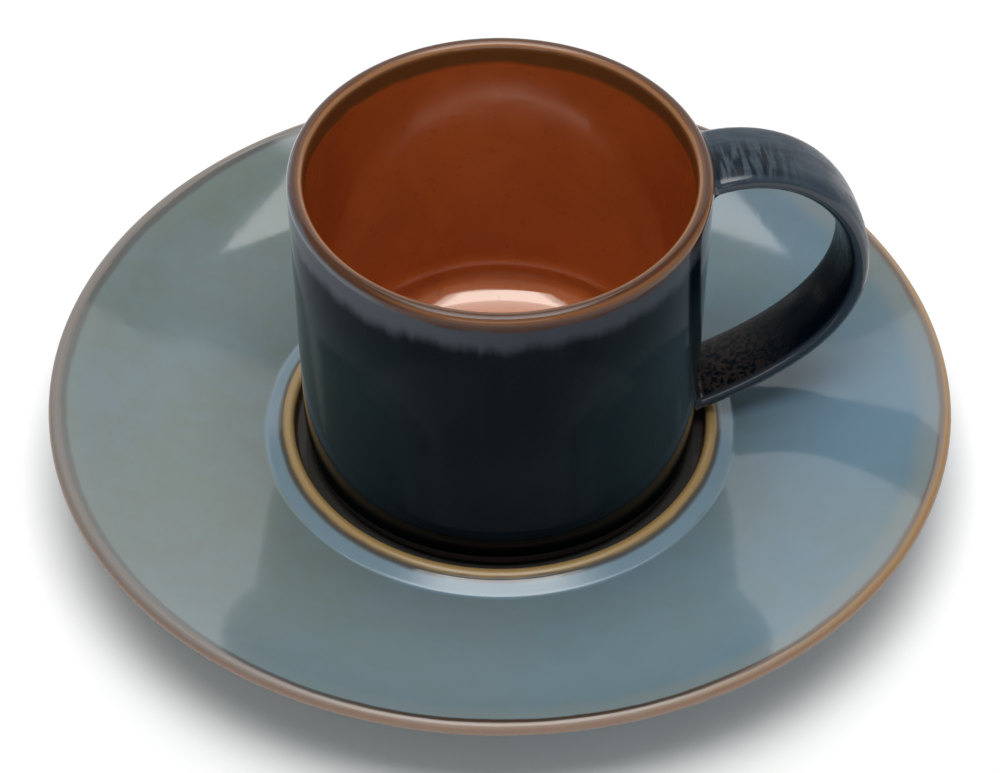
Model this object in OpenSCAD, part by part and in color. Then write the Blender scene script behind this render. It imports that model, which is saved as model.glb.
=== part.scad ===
// Espresso cup and saucer in glazed stoneware. A straight-sided cup with a strap handle
// stands in the ringed well of a wide saucer, and lifts out of it.
// Frame: origin at the centre of the saucer's foot on the table, +Z up, handle towards +X.

/* [Saucer] */
// Diameter over the rim
saucer_d = 135; // [130:1:150]
// Height of the rim's outermost line above the table
saucer_rim_z = 14.4; // [13.4:0.1:17]
// Thickness of the rounded rim
saucer_rim_t = 2.2; // [1.8:0.1:3]
// Thickness of the flange beside the foot ring
saucer_t = 4.3; // [3.8:0.1:4.8]
// Width of the turned-up lip
saucer_lip_w = 6; // [4:0.5:9]
// Slope of the turned-up lip, in degrees
saucer_lip_angle = 25; // [22:1:30]
// Slope of the flange beside the ridge, in degrees
flange_angle = 11.5; // [10:0.5:13]
// Height of the flat well that the cup stands in
well_z = 6.2; // [5.8:0.1:6.8]
// Diameter of the ridge round the well, over its crest
ridge_d = 63.6; // [63.4:0.2:66]
// Width of the ridge
ridge_w = 3; // [2.4:0.2:3.4]
// Height of the ridge above the well
ridge_h = 2.2; // [1.9:0.1:2.8]
// Diameter over the saucer's foot ring
saucer_foot_d = 78; // [70:1:84]
// Width of the saucer's foot ring
saucer_foot_w = 3.5; // [2.5:0.5:5]
// Depth of the recess inside the saucer's foot ring
saucer_recess = 2; // [1.5:0.1:2.4]

/* [Cup] */
// Height of the cup
cup_h = 51.6; // [48:0.2:60]
// Diameter of the glazed wall at the lip
cup_top_d = 61.1; // [60:0.1:62.5]
// Diameter of the glazed wall at the foot
cup_base_d = 58.6; // [57:0.1:59.6]
// Thickness of the glazed lip
cup_lip_t = 2.4; // [2:0.1:3]
// Thickness of the glazed wall at the floor
cup_wall_t = 3.2; // [2.8:0.1:3.5]
// Thickness of the glazed floor
cup_floor_t = 2.6; // [2.4:0.1:3.4]
// Diameter of the flat middle of the cup's floor, inside
cup_flat_d = 23.2; // [20:0.2:26]
// Radius of the shallow curve in which the floor rises round its flat middle
cup_bowl_r = 32; // [28:1:40]
// Radius of the corner between the floor and the wall
cup_corner_r = 6.9; // [6:0.1:7.5]
// Diameter over the cup's foot ring
cup_foot_d = 55.2; // [50:0.2:56]
// Width of the cup's foot ring
cup_foot_w = 3.6; // [2.5:0.1:5]
// Depth of the recess inside the cup's foot ring
cup_recess = 1; // [0.8:0.1:1.6]

/* [Handle] */
// Distance from the cup's axis to the middle of the strap at its widest
handle_reach = 53.2; // [50:0.1:58]
// Width of the strap at half height
handle_w = 12; // [9:0.1:14]
// Extra width of the strap where it joins the wall at the top
handle_flare = 0.9; // [0:0.1:2]
// Thickness of the glazed strap
handle_t = 3.7; // [3:0.1:4.5]
// Height of the upper joint above the saucer's well
handle_top = 47.8; // [44:0.1:48]
// Height of the strap's widest point above the well
handle_mid = 28.2; // [24:0.1:32]
// Height of the lower joint above the well
handle_low = 4.4; // [4:0.1:8]

/* [Glaze] */
// Thickness of the fired glaze
glaze_t = 0.4; // [0.3:0.05:0.5]
// How far the outer glaze runs over the lip and down the inside
glaze_overlap = 4; // [2:0.5:8]
// Width of bare clay left above the cup's foot
bare_foot_h = 1.4; // [1:0.1:3]
// Margin of the strap's end left resting on glaze, round the patch that is luted to the wall
root_margin = 0.7; // [0.5:0.1:1]

/* [Hidden] */

round_fn = 128;
strap_rings = 18;
strap_sides = 20;
clay_color = "#6b5a49";
rust_color = "#6d3418";
navy_color = "#1f2a33";
grey_blue_color = "#6f878c";

// Cup, in radius and height
cup_lip_r = cup_lip_t / 2;
cup_lip_centre_r = cup_top_d / 2 - cup_lip_r;
cup_lip_centre_z = well_z + cup_h - cup_lip_r;
cup_edge_z = well_z + cup_recess;
cup_floor_z = well_z + cup_recess + cup_floor_t;
cup_inner_low_r = cup_base_d / 2 - cup_wall_t;
cup_inner_lip_r = cup_lip_centre_r - cup_lip_r;
inner_slope = (cup_inner_lip_r - cup_inner_low_r) / (cup_lip_centre_z - cup_floor_z);

// The corner's curve touches the floor's curve from inside and the wall's line. Its centre lies
// at corner_reach from the centre of the floor's curve, on a line next to the wall.
bowl_centre = [cup_flat_d / 2, cup_floor_z + cup_bowl_r];
corner_reach = cup_bowl_r - cup_corner_r;
corner_line = cup_inner_low_r - cup_corner_r * sqrt(1 + pow(inner_slope, 2)) - bowl_centre[0];
corner_a = 1 + pow(inner_slope, 2);
corner_b = cup_bowl_r - corner_line * inner_slope;
corner_c = pow(corner_line, 2) + pow(cup_bowl_r, 2) - pow(corner_reach, 2);
corner_h = (corner_b - sqrt(pow(corner_b, 2) - corner_a * corner_c)) / corner_a;
corner_centre = [bowl_centre[0] + corner_line + inner_slope * corner_h, cup_floor_z + corner_h];
cup_foot_r = cup_foot_d / 2;
cup_top_z = well_z + cup_h;

// Saucer, in radius and height. A narrow gutter lies between the ridge and the flange, which
// starts a small step above the well, runs straight and then curls up to meet the lip.
rim_nose_r = saucer_rim_t / 2;
rim_centre_r = saucer_d / 2 - rim_nose_r;
lip_start_r = saucer_d / 2 - saucer_lip_w;
ridge_r = ridge_w / 2;
ridge_centre_z = well_z + ridge_h - ridge_r;
ridge_gutter_w = 0.9;
flange_step = 0.2;
flange_curl_w = 11.5;
flange_r = ridge_d / 2 + ridge_r + ridge_gutter_w;
flange_z = well_z + flange_step;
flange_slope = tan(flange_angle);
lip_slope = tan(saucer_lip_angle);
lip_start_z = saucer_rim_z + rim_nose_r / cos(saucer_lip_angle) - lip_slope * (rim_centre_r - lip_start_r);
curl_r = lip_start_r - flange_curl_w;
curl_rise = lip_start_z - flange_z - flange_slope * (lip_start_r - flange_r);
flange_steps = 18;
saucer_foot_r = saucer_foot_d / 2;
saucer_foot_flare = 0.8;
underside_start_r = saucer_foot_r + saucer_foot_flare;
saucer_recess_r = saucer_foot_r - saucer_foot_w;

// Handle. Its middle line starts and ends inside the wall, at root_depth from the cup's axis,
// and both ends carry on inwards by run_in. The leads say how far each end of a curve pulls it.
root_depth = 28.5;
run_in = 1.5;
top_angle = 15;
low_angle = 18;
top_lead = 14;
mid_lead_up = 11.7;
mid_lead_down = 13.4;
low_lead = 10.7;
// Roundness of the strap's section: 1 is an ellipse, and less is flatter
strap_power = 0.76;
// Share of the strap's length over which its upper end narrows
flare_run = 0.25;
// Length and smoothness of the luted patch's slot through the outer glaze
slot_reach = 3;
slot_fn = 32;

// Height of the flange's glazed top surface at radius r
function flange_top(r) =
    r <= lip_start_r
    ? flange_z + flange_slope * (r - flange_r) + curl_rise * pow(max(0, r - curl_r) / flange_curl_w, 2)
    : lip_start_z + lip_slope * (r - lip_start_r);

// Thickness of the glazed flange at radius r, from the foot ring out to the rim
function flange_thickness(r) =
    saucer_t + (saucer_rim_t / cos(saucer_lip_angle) - saucer_t)
    * (r - underside_start_r) / (rim_centre_r - underside_start_r);

// Points along the flange from radius a to radius b, lowered by d and by the thickness times k
function flange_line(a, b, d, k) = [
    for (i = [0 : flange_steps])
    let (r = a + (b - a) * i / flange_steps)
    [r, flange_top(r) - d - k * flange_thickness(r)]
];

function bezier(a, b, c, d, t) =
    pow(1 - t, 3) * a + 3 * pow(1 - t, 2) * t * b + 3 * (1 - t) * t * t * c + t * t * t * d;
function bezier_tangent(a, b, c, d, t) =
    3 * pow(1 - t, 2) * (b - a) + 6 * (1 - t) * t * (c - b) + 3 * t * t * (d - c);

// The strap's middle line leaves the wall near the lip, turns down at its widest and comes
// back to the wall above the foot. Its two halves meet where it runs straight down.
strap_start = [root_depth, well_z + handle_top];
strap_widest = [handle_reach, well_z + handle_mid];
strap_end = [root_depth, well_z + handle_low];
upper_half = [
    strap_start, strap_start + top_lead * [cos(top_angle), sin(top_angle)],
    strap_widest + [0, mid_lead_up], strap_widest
];
lower_half = [
    strap_widest, strap_widest - [0, mid_lead_down],
    strap_end + low_lead * [cos(low_angle), sin(low_angle)], strap_end
];

function half_point(h, t) = bezier(h[0], h[1], h[2], h[3], t);
function half_tangent(h, t) = bezier_tangent(h[0], h[1], h[2], h[3], t);

// Width of the strap at s, which runs from 0 at the upper joint to 1 at the lower
function strap_width(s) = handle_w + handle_flare * pow(max(0, 1 - s / flare_run), 2);

function signed_power(x, p) = sign(x) * pow(abs(x), p);

// One ring of the strap: a rounded flat section, square to the middle line
function strap_ring(p, v, w, grow) = [
    for (j = [0 : strap_sides - 1])
    let (
        a = 360 * j / strap_sides,
        across = (w / 2 + grow) * signed_power(cos(a), strap_power),
        out = (handle_t / 2 + grow) * signed_power(sin(a), strap_power),
        n = [-v[1], v[0]] / norm(v)
    )
    [p[0] + n[0] * out, across, p[1] + n[1] * out]
];

// A closed tube through a list of rings with the same number of points each
module ring_tube(rings) {
    count = len(rings);
    sides = len(rings[0]);
    points = [for (ring = rings) each ring];
    walls = [
        for (i = [0 : count - 2], j = [0 : sides - 1])
        let (
            a = i * sides + j,
            b = i * sides + (j + 1) % sides
        )
        each [[a, b + sides, b], [a, a + sides, b + sides]]
    ];
    first_cap = [[for (j = [0 : sides - 1]) j]];
    last_cap = [[for (j = [sides - 1 : -1 : 0]) (count - 1) * sides + j]];
    polyhedron(points = points, faces = concat(walls, first_cap, last_cap), convexity = 6);
}

// The whole strap, grown by the given amount and carried on into the wall by a short length
module strap(grow, carry_on) {
    upper = [
        for (i = [0 : strap_rings])
        let (t = i / strap_rings)
        strap_ring(half_point(upper_half, t), half_tangent(upper_half, t), strap_width(t / 2), grow)
    ];
    lower = [
        for (i = [1 : strap_rings])
        let (t = i / strap_rings)
        strap_ring(half_point(lower_half, t), half_tangent(lower_half, t), strap_width(0.5 + t / 2), grow)
    ];
    top_dir = [cos(top_angle), sin(top_angle)];
    low_dir = [cos(low_angle), sin(low_angle)];
    top_run = strap_ring(strap_start - carry_on * top_dir, top_dir, strap_width(0), grow);
    low_run = strap_ring(strap_end - carry_on * low_dir, -low_dir, strap_width(1), grow);
    ring_tube(concat([top_run], upper, lower, [low_run]));
}

// The straight-sided shape of the cup's wall, filled, with its radius grown by the given amount
module wall_cone(grow) {
    translate([0, 0, cup_edge_z])
        cylinder(
            h = cup_lip_centre_z - cup_edge_z,
            r1 = cup_base_d / 2 + grow,
            r2 = cup_top_d / 2 + grow,
            $fn = round_fn
        );
}

// Section of the hollow inside the cup, widened by the given depth
module hollow_section(depth) {
    low = cup_floor_z - cup_floor_t;
    overlap = 1;
    outward = corner_centre - bowl_centre;
    intersection() {
        polygon([
            [0, cup_floor_z - depth],
            [cup_inner_low_r + depth, cup_floor_z - depth],
            [cup_inner_low_r + depth, cup_floor_z],
            [cup_inner_lip_r + depth, cup_lip_centre_z],
            [0, cup_top_z]
        ]);
        union() {
            intersection() {
                translate(bowl_centre) circle(r = cup_bowl_r + depth, $fn = round_fn);
                polygon([bowl_centre, [bowl_centre[0] - overlap, low], bowl_centre + 2 * outward]);
            }
            translate(corner_centre) circle(r = cup_corner_r + depth, $fn = round_fn);
            polygon([
                [0, cup_floor_z - depth],
                [bowl_centre[0], cup_floor_z - depth],
                [bowl_centre[0], corner_centre[1]],
                corner_centre,
                corner_centre + [cup_top_d, -inner_slope * cup_top_d],
                [cup_top_d, cup_top_z],
                [0, cup_top_z]
            ]);
        }
    }
}

// Section of the cup, with its skin moved in by the given depth
module cup_section(depth) {
    lip_r = cup_lip_r - depth;
    difference() {
        union() {
            polygon([
                [0, cup_edge_z],
                [cup_foot_r - cup_foot_w, cup_edge_z],
                [cup_foot_r - cup_foot_w, well_z],
                [cup_foot_r, well_z],
                [cup_base_d / 2 - depth, cup_edge_z],
                [cup_lip_centre_r + lip_r, cup_lip_centre_z],
                [0, cup_lip_centre_z]
            ]);
            translate([cup_lip_centre_r, cup_lip_centre_z]) circle(r = lip_r, $fn = round_fn);
        }
        hollow_section(depth);
    }
}

// The part of the half plane inside the cup's wall, below the line where the outer glaze ends
module inside_zone() {
    middle_low = cup_base_d / 2 - cup_wall_t / 2;
    polygon([
        [0, cup_edge_z + cup_floor_t / 2],
        [cup_flat_d / 2, cup_edge_z + cup_floor_t / 2],
        [middle_low, cup_floor_z],
        [cup_lip_centre_r, cup_top_z - glaze_overlap],
        [0, cup_top_z - glaze_overlap]
    ]);
}

// Section of the glaze coat all over the cup
module cup_coat_section() {
    difference() {
        cup_section(0);
        cup_section(glaze_t);
    }
}

// Thrown wall, floor and foot ring of the cup
module cup_body() {
    color(clay_color)
        rotate_extrude($fn = round_fn) cup_section(glaze_t);
}

// Round-ended slot through which one end of the strap reaches the clay of the wall
module root_slot(start, angle, width) {
    slot_w = width - 2 * glaze_t - 2 * root_margin;
    slot_h = handle_t - 2 * glaze_t - root_margin;
    translate([start[0], 0, start[1]])
        rotate([0, 90 - angle, 0])
            rotate([0, 0, 90])
                linear_extrude(height = slot_reach)
                    union() {
                        square([slot_w - slot_h, slot_h], center = true);
                        for (side = [-1, 1])
                            translate([side * (slot_w - slot_h) / 2, 0])
                                circle(d = slot_h, $fn = slot_fn);
                    }
}

// The slots of the upper and the lower joint
module root_slots() {
    root_slot(strap_start, top_angle, strap_width(0));
    root_slot(strap_end, low_angle, strap_width(1));
}

// Strap of clay that is luted to the wall at both ends
module cup_handle() {
    color(clay_color)
        union() {
            difference() {
                strap(-glaze_t, run_in);
                wall_cone(0);
            }
            difference() {
                root_slots();
                wall_cone(-glaze_t);
            }
        }
}

// Rust-brown glaze over the inside
module cup_lining_glaze() {
    color(rust_color)
        rotate_extrude($fn = round_fn)
            intersection() {
                cup_coat_section();
                inside_zone();
            }
}

// Dark blue glaze over the outside, the lip and a short way down the inside
module cup_outer_glaze() {
    color(navy_color)
        difference() {
            rotate_extrude($fn = round_fn)
                difference() {
                    cup_coat_section();
                    inside_zone();
                    square([cup_top_d, cup_edge_z + bare_foot_h]);
                }
            root_slots();
        }
}

// The same dark blue glaze round the strap
module handle_glaze() {
    color(navy_color)
        difference() {
            strap(0, run_in - 0.5);
            strap(-glaze_t, run_in);
            wall_cone(0);
        }
}

// Glaze over the middle of the cup's underside, inside its foot ring
module cup_recess_glaze() {
    color(navy_color)
        translate([0, 0, cup_edge_z - glaze_t])
            cylinder(h = glaze_t, r = cup_foot_r - cup_foot_w, $fn = round_fn);
}

// Section of the saucer above its foot ring, with its skin moved in by the given depth
module saucer_section(depth) {
    nose = [rim_centre_r, saucer_rim_z];
    lean = (rim_nose_r - depth) * [sin(saucer_lip_angle), cos(saucer_lip_angle)];
    top_line = flange_line(flange_r, lip_start_r, depth, 0);
    underside_line = flange_line(underside_start_r, lip_start_r, -depth, 1);
    union() {
        translate(nose) circle(r = rim_nose_r - depth, $fn = round_fn);
        translate([ridge_d / 2, ridge_centre_z]) circle(r = ridge_r - depth, $fn = round_fn);
        translate([ridge_d / 2 - ridge_r + depth, well_z - depth])
            square([2 * (ridge_r - depth), ridge_centre_z - well_z + depth]);
        polygon(concat(
            [[0, underside_line[0][1]]],
            underside_line,
            [
                nose + [lean[0], -lean[1]],
                nose + [-lean[0], lean[1]]
            ],
            [for (i = [flange_steps : -1 : 0]) top_line[i]],
            [
                [ridge_d / 2, flange_z - depth],
                [ridge_d / 2, well_z - depth],
                [0, well_z - depth]
            ]
        ));
    }
}

// Section of the foot ring and of the disc that it carries
module saucer_foot_section() {
    polygon([
        [0, saucer_recess],
        [saucer_recess_r, saucer_recess],
        [saucer_recess_r, 0],
        [saucer_foot_r, 0],
        [underside_start_r, flange_top(underside_start_r) - saucer_t],
        [underside_start_r, well_z - glaze_t],
        [0, well_z - glaze_t]
    ]);
}

// The part of the half plane above the middle of the saucer's thickness
module saucer_upper_zone() {
    polygon(concat(
        [
            [0, well_z - saucer_t / 2],
            [flange_r, well_z - saucer_t / 2]
        ],
        [
            for (p = flange_line(flange_r, lip_start_r, 0, 0.5)) if (p[0] > flange_r + saucer_t) p
        ],
        [
            [rim_centre_r, saucer_rim_z],
            [saucer_d, saucer_rim_z],
            [saucer_d, cup_top_z],
            [0, cup_top_z]
        ]
    ));
}

// Section of the glaze coat round the saucer above its foot ring
module saucer_coat_section() {
    difference() {
        saucer_section(0);
        saucer_section(glaze_t);
        saucer_foot_section();
    }
}

// Thrown disc of the saucer with its ridge and foot ring
module saucer_body() {
    color(clay_color)
        rotate_extrude($fn = round_fn)
            union() {
                saucer_section(glaze_t);
                saucer_foot_section();
            }
}

// Grey-blue glaze over the whole top of the saucer, out to the middle of the rim
module saucer_top_glaze() {
    color(grey_blue_color)
        rotate_extrude($fn = round_fn)
            intersection() {
                saucer_coat_section();
                saucer_upper_zone();
            }
}

// The same glaze under the flange, from the middle of the rim in to the foot ring
module saucer_underside_glaze() {
    color(grey_blue_color)
        rotate_extrude($fn = round_fn)
            difference() {
                saucer_coat_section();
                saucer_upper_zone();
                square([underside_start_r, saucer_rim_z]);
            }
}

// The same glaze inside the saucer's foot ring
module saucer_recess_glaze() {
    color(grey_blue_color)
        translate([0, 0, saucer_recess - glaze_t])
            cylinder(h = glaze_t, r = saucer_recess_r, $fn = round_fn);
}

cup_body();
cup_handle();
cup_lining_glaze();
cup_outer_glaze();
handle_glaze();
cup_recess_glaze();
saucer_body();
saucer_top_glaze();
saucer_underside_glaze();
saucer_recess_glaze();
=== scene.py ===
"""Espresso cup and saucer in glazed stoneware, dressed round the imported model.

Every turned piece is thrown from its own section by one geometry node tree, and the strap
handle is pulled along its middle line by another. Lengths are in metres, in the frame of the
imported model: the saucer stands on z = 0 and the handle points along +X.
"""

import logging
import math
from dataclasses import dataclass
from enum import Enum
from typing import Callable

import bpy
from mathutils import Matrix, Vector


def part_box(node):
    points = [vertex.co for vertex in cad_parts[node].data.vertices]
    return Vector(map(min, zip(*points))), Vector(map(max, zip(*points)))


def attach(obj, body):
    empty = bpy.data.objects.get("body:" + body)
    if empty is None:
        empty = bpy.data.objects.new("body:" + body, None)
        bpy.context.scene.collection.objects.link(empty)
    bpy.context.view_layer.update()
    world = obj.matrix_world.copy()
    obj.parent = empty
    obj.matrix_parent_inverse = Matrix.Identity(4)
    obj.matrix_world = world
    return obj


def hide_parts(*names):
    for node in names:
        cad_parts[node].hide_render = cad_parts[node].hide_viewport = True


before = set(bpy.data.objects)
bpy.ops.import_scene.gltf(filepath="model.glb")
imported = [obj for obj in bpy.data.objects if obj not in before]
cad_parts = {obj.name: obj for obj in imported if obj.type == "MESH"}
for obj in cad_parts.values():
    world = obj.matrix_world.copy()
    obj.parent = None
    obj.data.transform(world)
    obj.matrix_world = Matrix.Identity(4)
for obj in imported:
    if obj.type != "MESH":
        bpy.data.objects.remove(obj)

log = logging.getLogger("espresso_cup")

MM = 0.001
STRAP_PLACE = "strap_place"

# How far the photograph's view is turned from +Y toward +X, and how far the saucer reaches sideways.
VIEW_TURN = math.radians(11)
SIDE_REACH = 67 * MM

Point = tuple[float, float]
Colour = tuple[float, float, float, float]
Socket = bpy.types.NodeSocket

WHITE: Colour = (1.0, 1.0, 1.0, 1.0)


class Body(Enum):
    """The two loose things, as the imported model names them."""

    SAUCER = "saucer"
    CUP = "cup"


class Slot(Enum):
    """The record's material slots."""

    STONEWARE = "stoneware"
    RUST = "rust_glaze"
    NAVY = "navy_glaze"
    GREY_BLUE = "grey_blue_glaze"


def srgb(red: int, green: int, blue: int) -> Colour:
    """Turns a colour written as sRGB bytes into scene-linear values.

    Args:
        red: Red from 0 to 255.
        green: Green from 0 to 255.
        blue: Blue from 0 to 255.

    Returns:
        Red, green, blue and an alpha of 1.
    """
    parts = []
    for byte in (red, green, blue):
        value = byte / 255
        dark = value <= 0.04045
        parts.append(value / 12.92 if dark else ((value + 0.055) / 1.055) ** 2.4)
    return (parts[0], parts[1], parts[2], 1.0)


class Graph:
    """A node tree under construction, with short calls for the nodes that it uses most."""

    def __init__(self, tree: bpy.types.NodeTree) -> None:
        """Takes the tree that the nodes go into."""
        self.tree = tree

    def feed(self, socket: Socket, value: object) -> None:
        """Links a socket to another one, or sets its value.

        Args:
            socket: The input.
            value: An output socket to link it to, or a plain value.
        """
        if isinstance(value, bpy.types.NodeSocket):
            self.tree.links.new(value, socket)
        else:
            socket.default_value = value

    def add(self, kind: str, inputs: dict | None = None, **settings: object) -> bpy.types.Node:
        """Adds a node.

        Args:
            kind: The node's type name.
            inputs: Input name or number to a value or an output socket.
            **settings: Properties of the node.

        Returns:
            The new node.
        """
        node = self.tree.nodes.new(kind)
        for key, value in settings.items():
            setattr(node, key, value)
        for key, value in (inputs or {}).items():
            self.feed(node.inputs[key], value)
        return node

    def math(self, operation: str, *values: object) -> Socket:
        """Adds a Math node on one to three values and gives its result."""
        return self.add("ShaderNodeMath", dict(enumerate(values)), operation=operation).outputs[0]

    def plus(self, first: object, second: object) -> Socket:
        """Adds two values."""
        return self.math("ADD", first, second)

    def minus(self, first: object, second: object) -> Socket:
        """Takes the second value from the first."""
        return self.math("SUBTRACT", first, second)

    def times(self, first: object, second: object) -> Socket:
        """Multiplies two values."""
        return self.math("MULTIPLY", first, second)

    def over(self, first: object, second: object) -> Socket:
        """Divides the first value by the second."""
        return self.math("DIVIDE", first, second)

    def rest(self, share: object) -> Socket:
        """Gives what a share leaves of 1."""
        return self.math("SUBTRACT", 1.0, share)

    def vector(self, operation: str, *values: object) -> Socket:
        """Adds a Vector Math node and gives the vector that it puts out."""
        return self.add("ShaderNodeVectorMath", dict(enumerate(values)), operation=operation).outputs[0]

    def scaled(self, vector: Socket, factor: object) -> Socket:
        """Scales a vector by one value."""
        return self.add("ShaderNodeVectorMath", {0: vector, "Scale": factor}, operation="SCALE").outputs[0]

    def distance(self, first: Socket, second: object) -> Socket:
        """Measures how far two places lie apart."""
        return self.add("ShaderNodeVectorMath", {0: first, 1: second}, operation="DISTANCE").outputs["Value"]

    def off_axis(self, x: Socket, y: Socket) -> Socket:
        """Measures how far a place lies from the z axis."""
        return self.distance(self.join(x, y, 0.0), (0.0, 0.0, 0.0))

    def split(self, vector: Socket) -> tuple[Socket, Socket, Socket]:
        """Splits a vector into its three parts."""
        node = self.add("ShaderNodeSeparateXYZ", {0: vector})
        return node.outputs[0], node.outputs[1], node.outputs[2]

    def join(self, x: object, y: object, z: object) -> Socket:
        """Makes a vector of three parts."""
        return self.add("ShaderNodeCombineXYZ", {0: x, 1: y, 2: z}).outputs[0]

    def blend(self, factor: object, first: object, second: object) -> Socket:
        """Mixes two colours by a factor."""
        return self.add("ShaderNodeMix", {0: factor, 6: first, 7: second}, data_type="RGBA").outputs[2]

    def between(
        self, value: object, low: object, high: object, start: float = 0.0, stop: float = 1.0
    ) -> Socket:
        """Maps a value smoothly from one range to another.

        Args:
            value: What is mapped.
            low: Where the result is start.
            high: Where the result is stop.
            start: Result at the low end.
            stop: Result at the high end.

        Returns:
            The result, held inside start and stop.
        """
        inputs = dict(enumerate((value, low, high, start, stop)))
        return self.add("ShaderNodeMapRange", inputs, interpolation_type="SMOOTHSTEP").outputs[0]

    def noise(
        self, vector: Socket, scale: object, detail: float = 2.0, distortion: float = 0.0
    ) -> bpy.types.Node:
        """Adds a Noise Texture node.

        Args:
            vector: Where it is read.
            scale: How fine it is.
            detail: How many finer layers it has.
            distortion: How much it swirls.

        Returns:
            The node.
        """
        inputs = {"Vector": vector, "Scale": scale, "Detail": detail, "Distortion": distortion}
        return self.add("ShaderNodeTexNoise", inputs)

    def place(self, group: bpy.types.NodeTree, **inputs: object) -> bpy.types.Node:
        """Places a shader node group.

        Args:
            group: The group.
            **inputs: Its inputs by name, with each space written as _.

        Returns:
            The node.
        """
        named = {key.replace("_", " "): value for key, value in inputs.items()}
        return self.add("ShaderNodeGroup", named, node_tree=group)


class Recipe(Graph):
    """A node group with named inputs and outputs."""

    def __init__(self, name: str, kind: str) -> None:
        """Starts an empty group.

        Args:
            name: Its name.
            kind: ShaderNodeTree or GeometryNodeTree.
        """
        super().__init__(bpy.data.node_groups.new(name, kind))
        self.start = self.add("NodeGroupInput")
        self.stop = self.add("NodeGroupOutput")

    def take(self, name: str, kind: str, value: object = None) -> Socket:
        """Adds an input to the group.

        Args:
            name: Its name.
            kind: The part of the socket's type after NodeSocket, such as Float.
            value: Its default, if it has one.

        Returns:
            The socket that brings it into the tree.
        """
        socket = self.tree.interface.new_socket(name, in_out="INPUT", socket_type=f"NodeSocket{kind}")
        if value is not None:
            socket.default_value = value
        return self.start.outputs[name]

    def give(self, name: str, kind: str, source: Socket) -> None:
        """Adds an output to the group and links what it puts out."""
        self.tree.interface.new_socket(name, in_out="OUTPUT", socket_type=f"NodeSocket{kind}")
        self.tree.links.new(source, self.stop.inputs[name])

    def identifier(self, name: str) -> str:
        """Finds the identifier of a named input, by which a modifier is set.

        Args:
            name: The input's name.

        Returns:
            Its identifier.
        """
        for item in self.tree.interface.items_tree:
            if item.item_type == "SOCKET" and item.in_out == "INPUT" and item.name == name:
                return item.identifier
        raise KeyError(name)


class Former(Recipe):
    """A geometry node tree that bends a grid of points round into a piece."""

    merge_distance = 0.002 * MM

    def __init__(self, name: str) -> None:
        """Starts an empty tree with the geometry and the material that it is given."""
        super().__init__(name, "GeometryNodeTree")
        self.blank = self.take("Geometry", "Geometry")

    def grid(self, rows: Socket, sides: Socket) -> tuple[Socket, Socket, Socket]:
        """Lays a grid whose first and last column are to meet.

        Args:
            rows: Number of points along the piece.
            sides: Number of faces round it.

        Returns:
            The grid, and the row and the column of each of its points.
        """
        columns = self.plus(sides, 1)
        sizes = {"Size X": 1.0, "Size Y": 1.0, "Vertices X": rows, "Vertices Y": columns}
        mesh = self.add("GeometryNodeMeshGrid", sizes).outputs["Mesh"]
        index = self.add("GeometryNodeInputIndex").outputs[0]
        row = self.math("FLOOR", self.over(self.plus(index, 0.5), columns))
        return mesh, row, self.minus(index, self.times(row, columns))

    def move(self, mesh: Socket, **inputs: Socket) -> Socket:
        """Moves the points of a mesh by Offset or to Position."""
        return self.add("GeometryNodeSetPosition", {"Geometry": mesh, **inputs}).outputs[0]

    def mark(self, mesh: Socket, name: str, value: Socket, kind: str, domain: str) -> Socket:
        """Stores a value on a mesh under a name.

        Args:
            mesh: The mesh.
            name: The name.
            value: The value.
            kind: Its data type.
            domain: What it belongs to, such as POINT.

        Returns:
            The marked mesh.
        """
        inputs = {"Geometry": mesh, "Name": name, "Value": value}
        return self.add("GeometryNodeStoreNamedAttribute", inputs, data_type=kind, domain=domain).outputs[0]

    def weld(self, mesh: Socket) -> Socket:
        """Closes the seam and the ends of a bent grid."""
        inputs = {"Geometry": mesh, "Distance": self.merge_distance}
        return self.add("GeometryNodeMergeByDistance", inputs).outputs[0]

    def hand_out(self, mesh: Socket) -> None:
        """Smooths a mesh, gives it the material and puts it out of the tree.

        Args:
            mesh: The mesh.
        """
        smooth = self.add("GeometryNodeSetShadeSmooth", {"Geometry": mesh, "Shade Smooth": True})
        real = self.add("GeometryNodeRealizeInstances", {"Geometry": smooth.outputs[0]})
        inputs = {"Geometry": real.outputs[0], "Material": self.take("Material", "Material")}
        dressed = self.add("GeometryNodeSetMaterial", inputs)
        self.give("Geometry", "Geometry", dressed.outputs[0])


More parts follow.
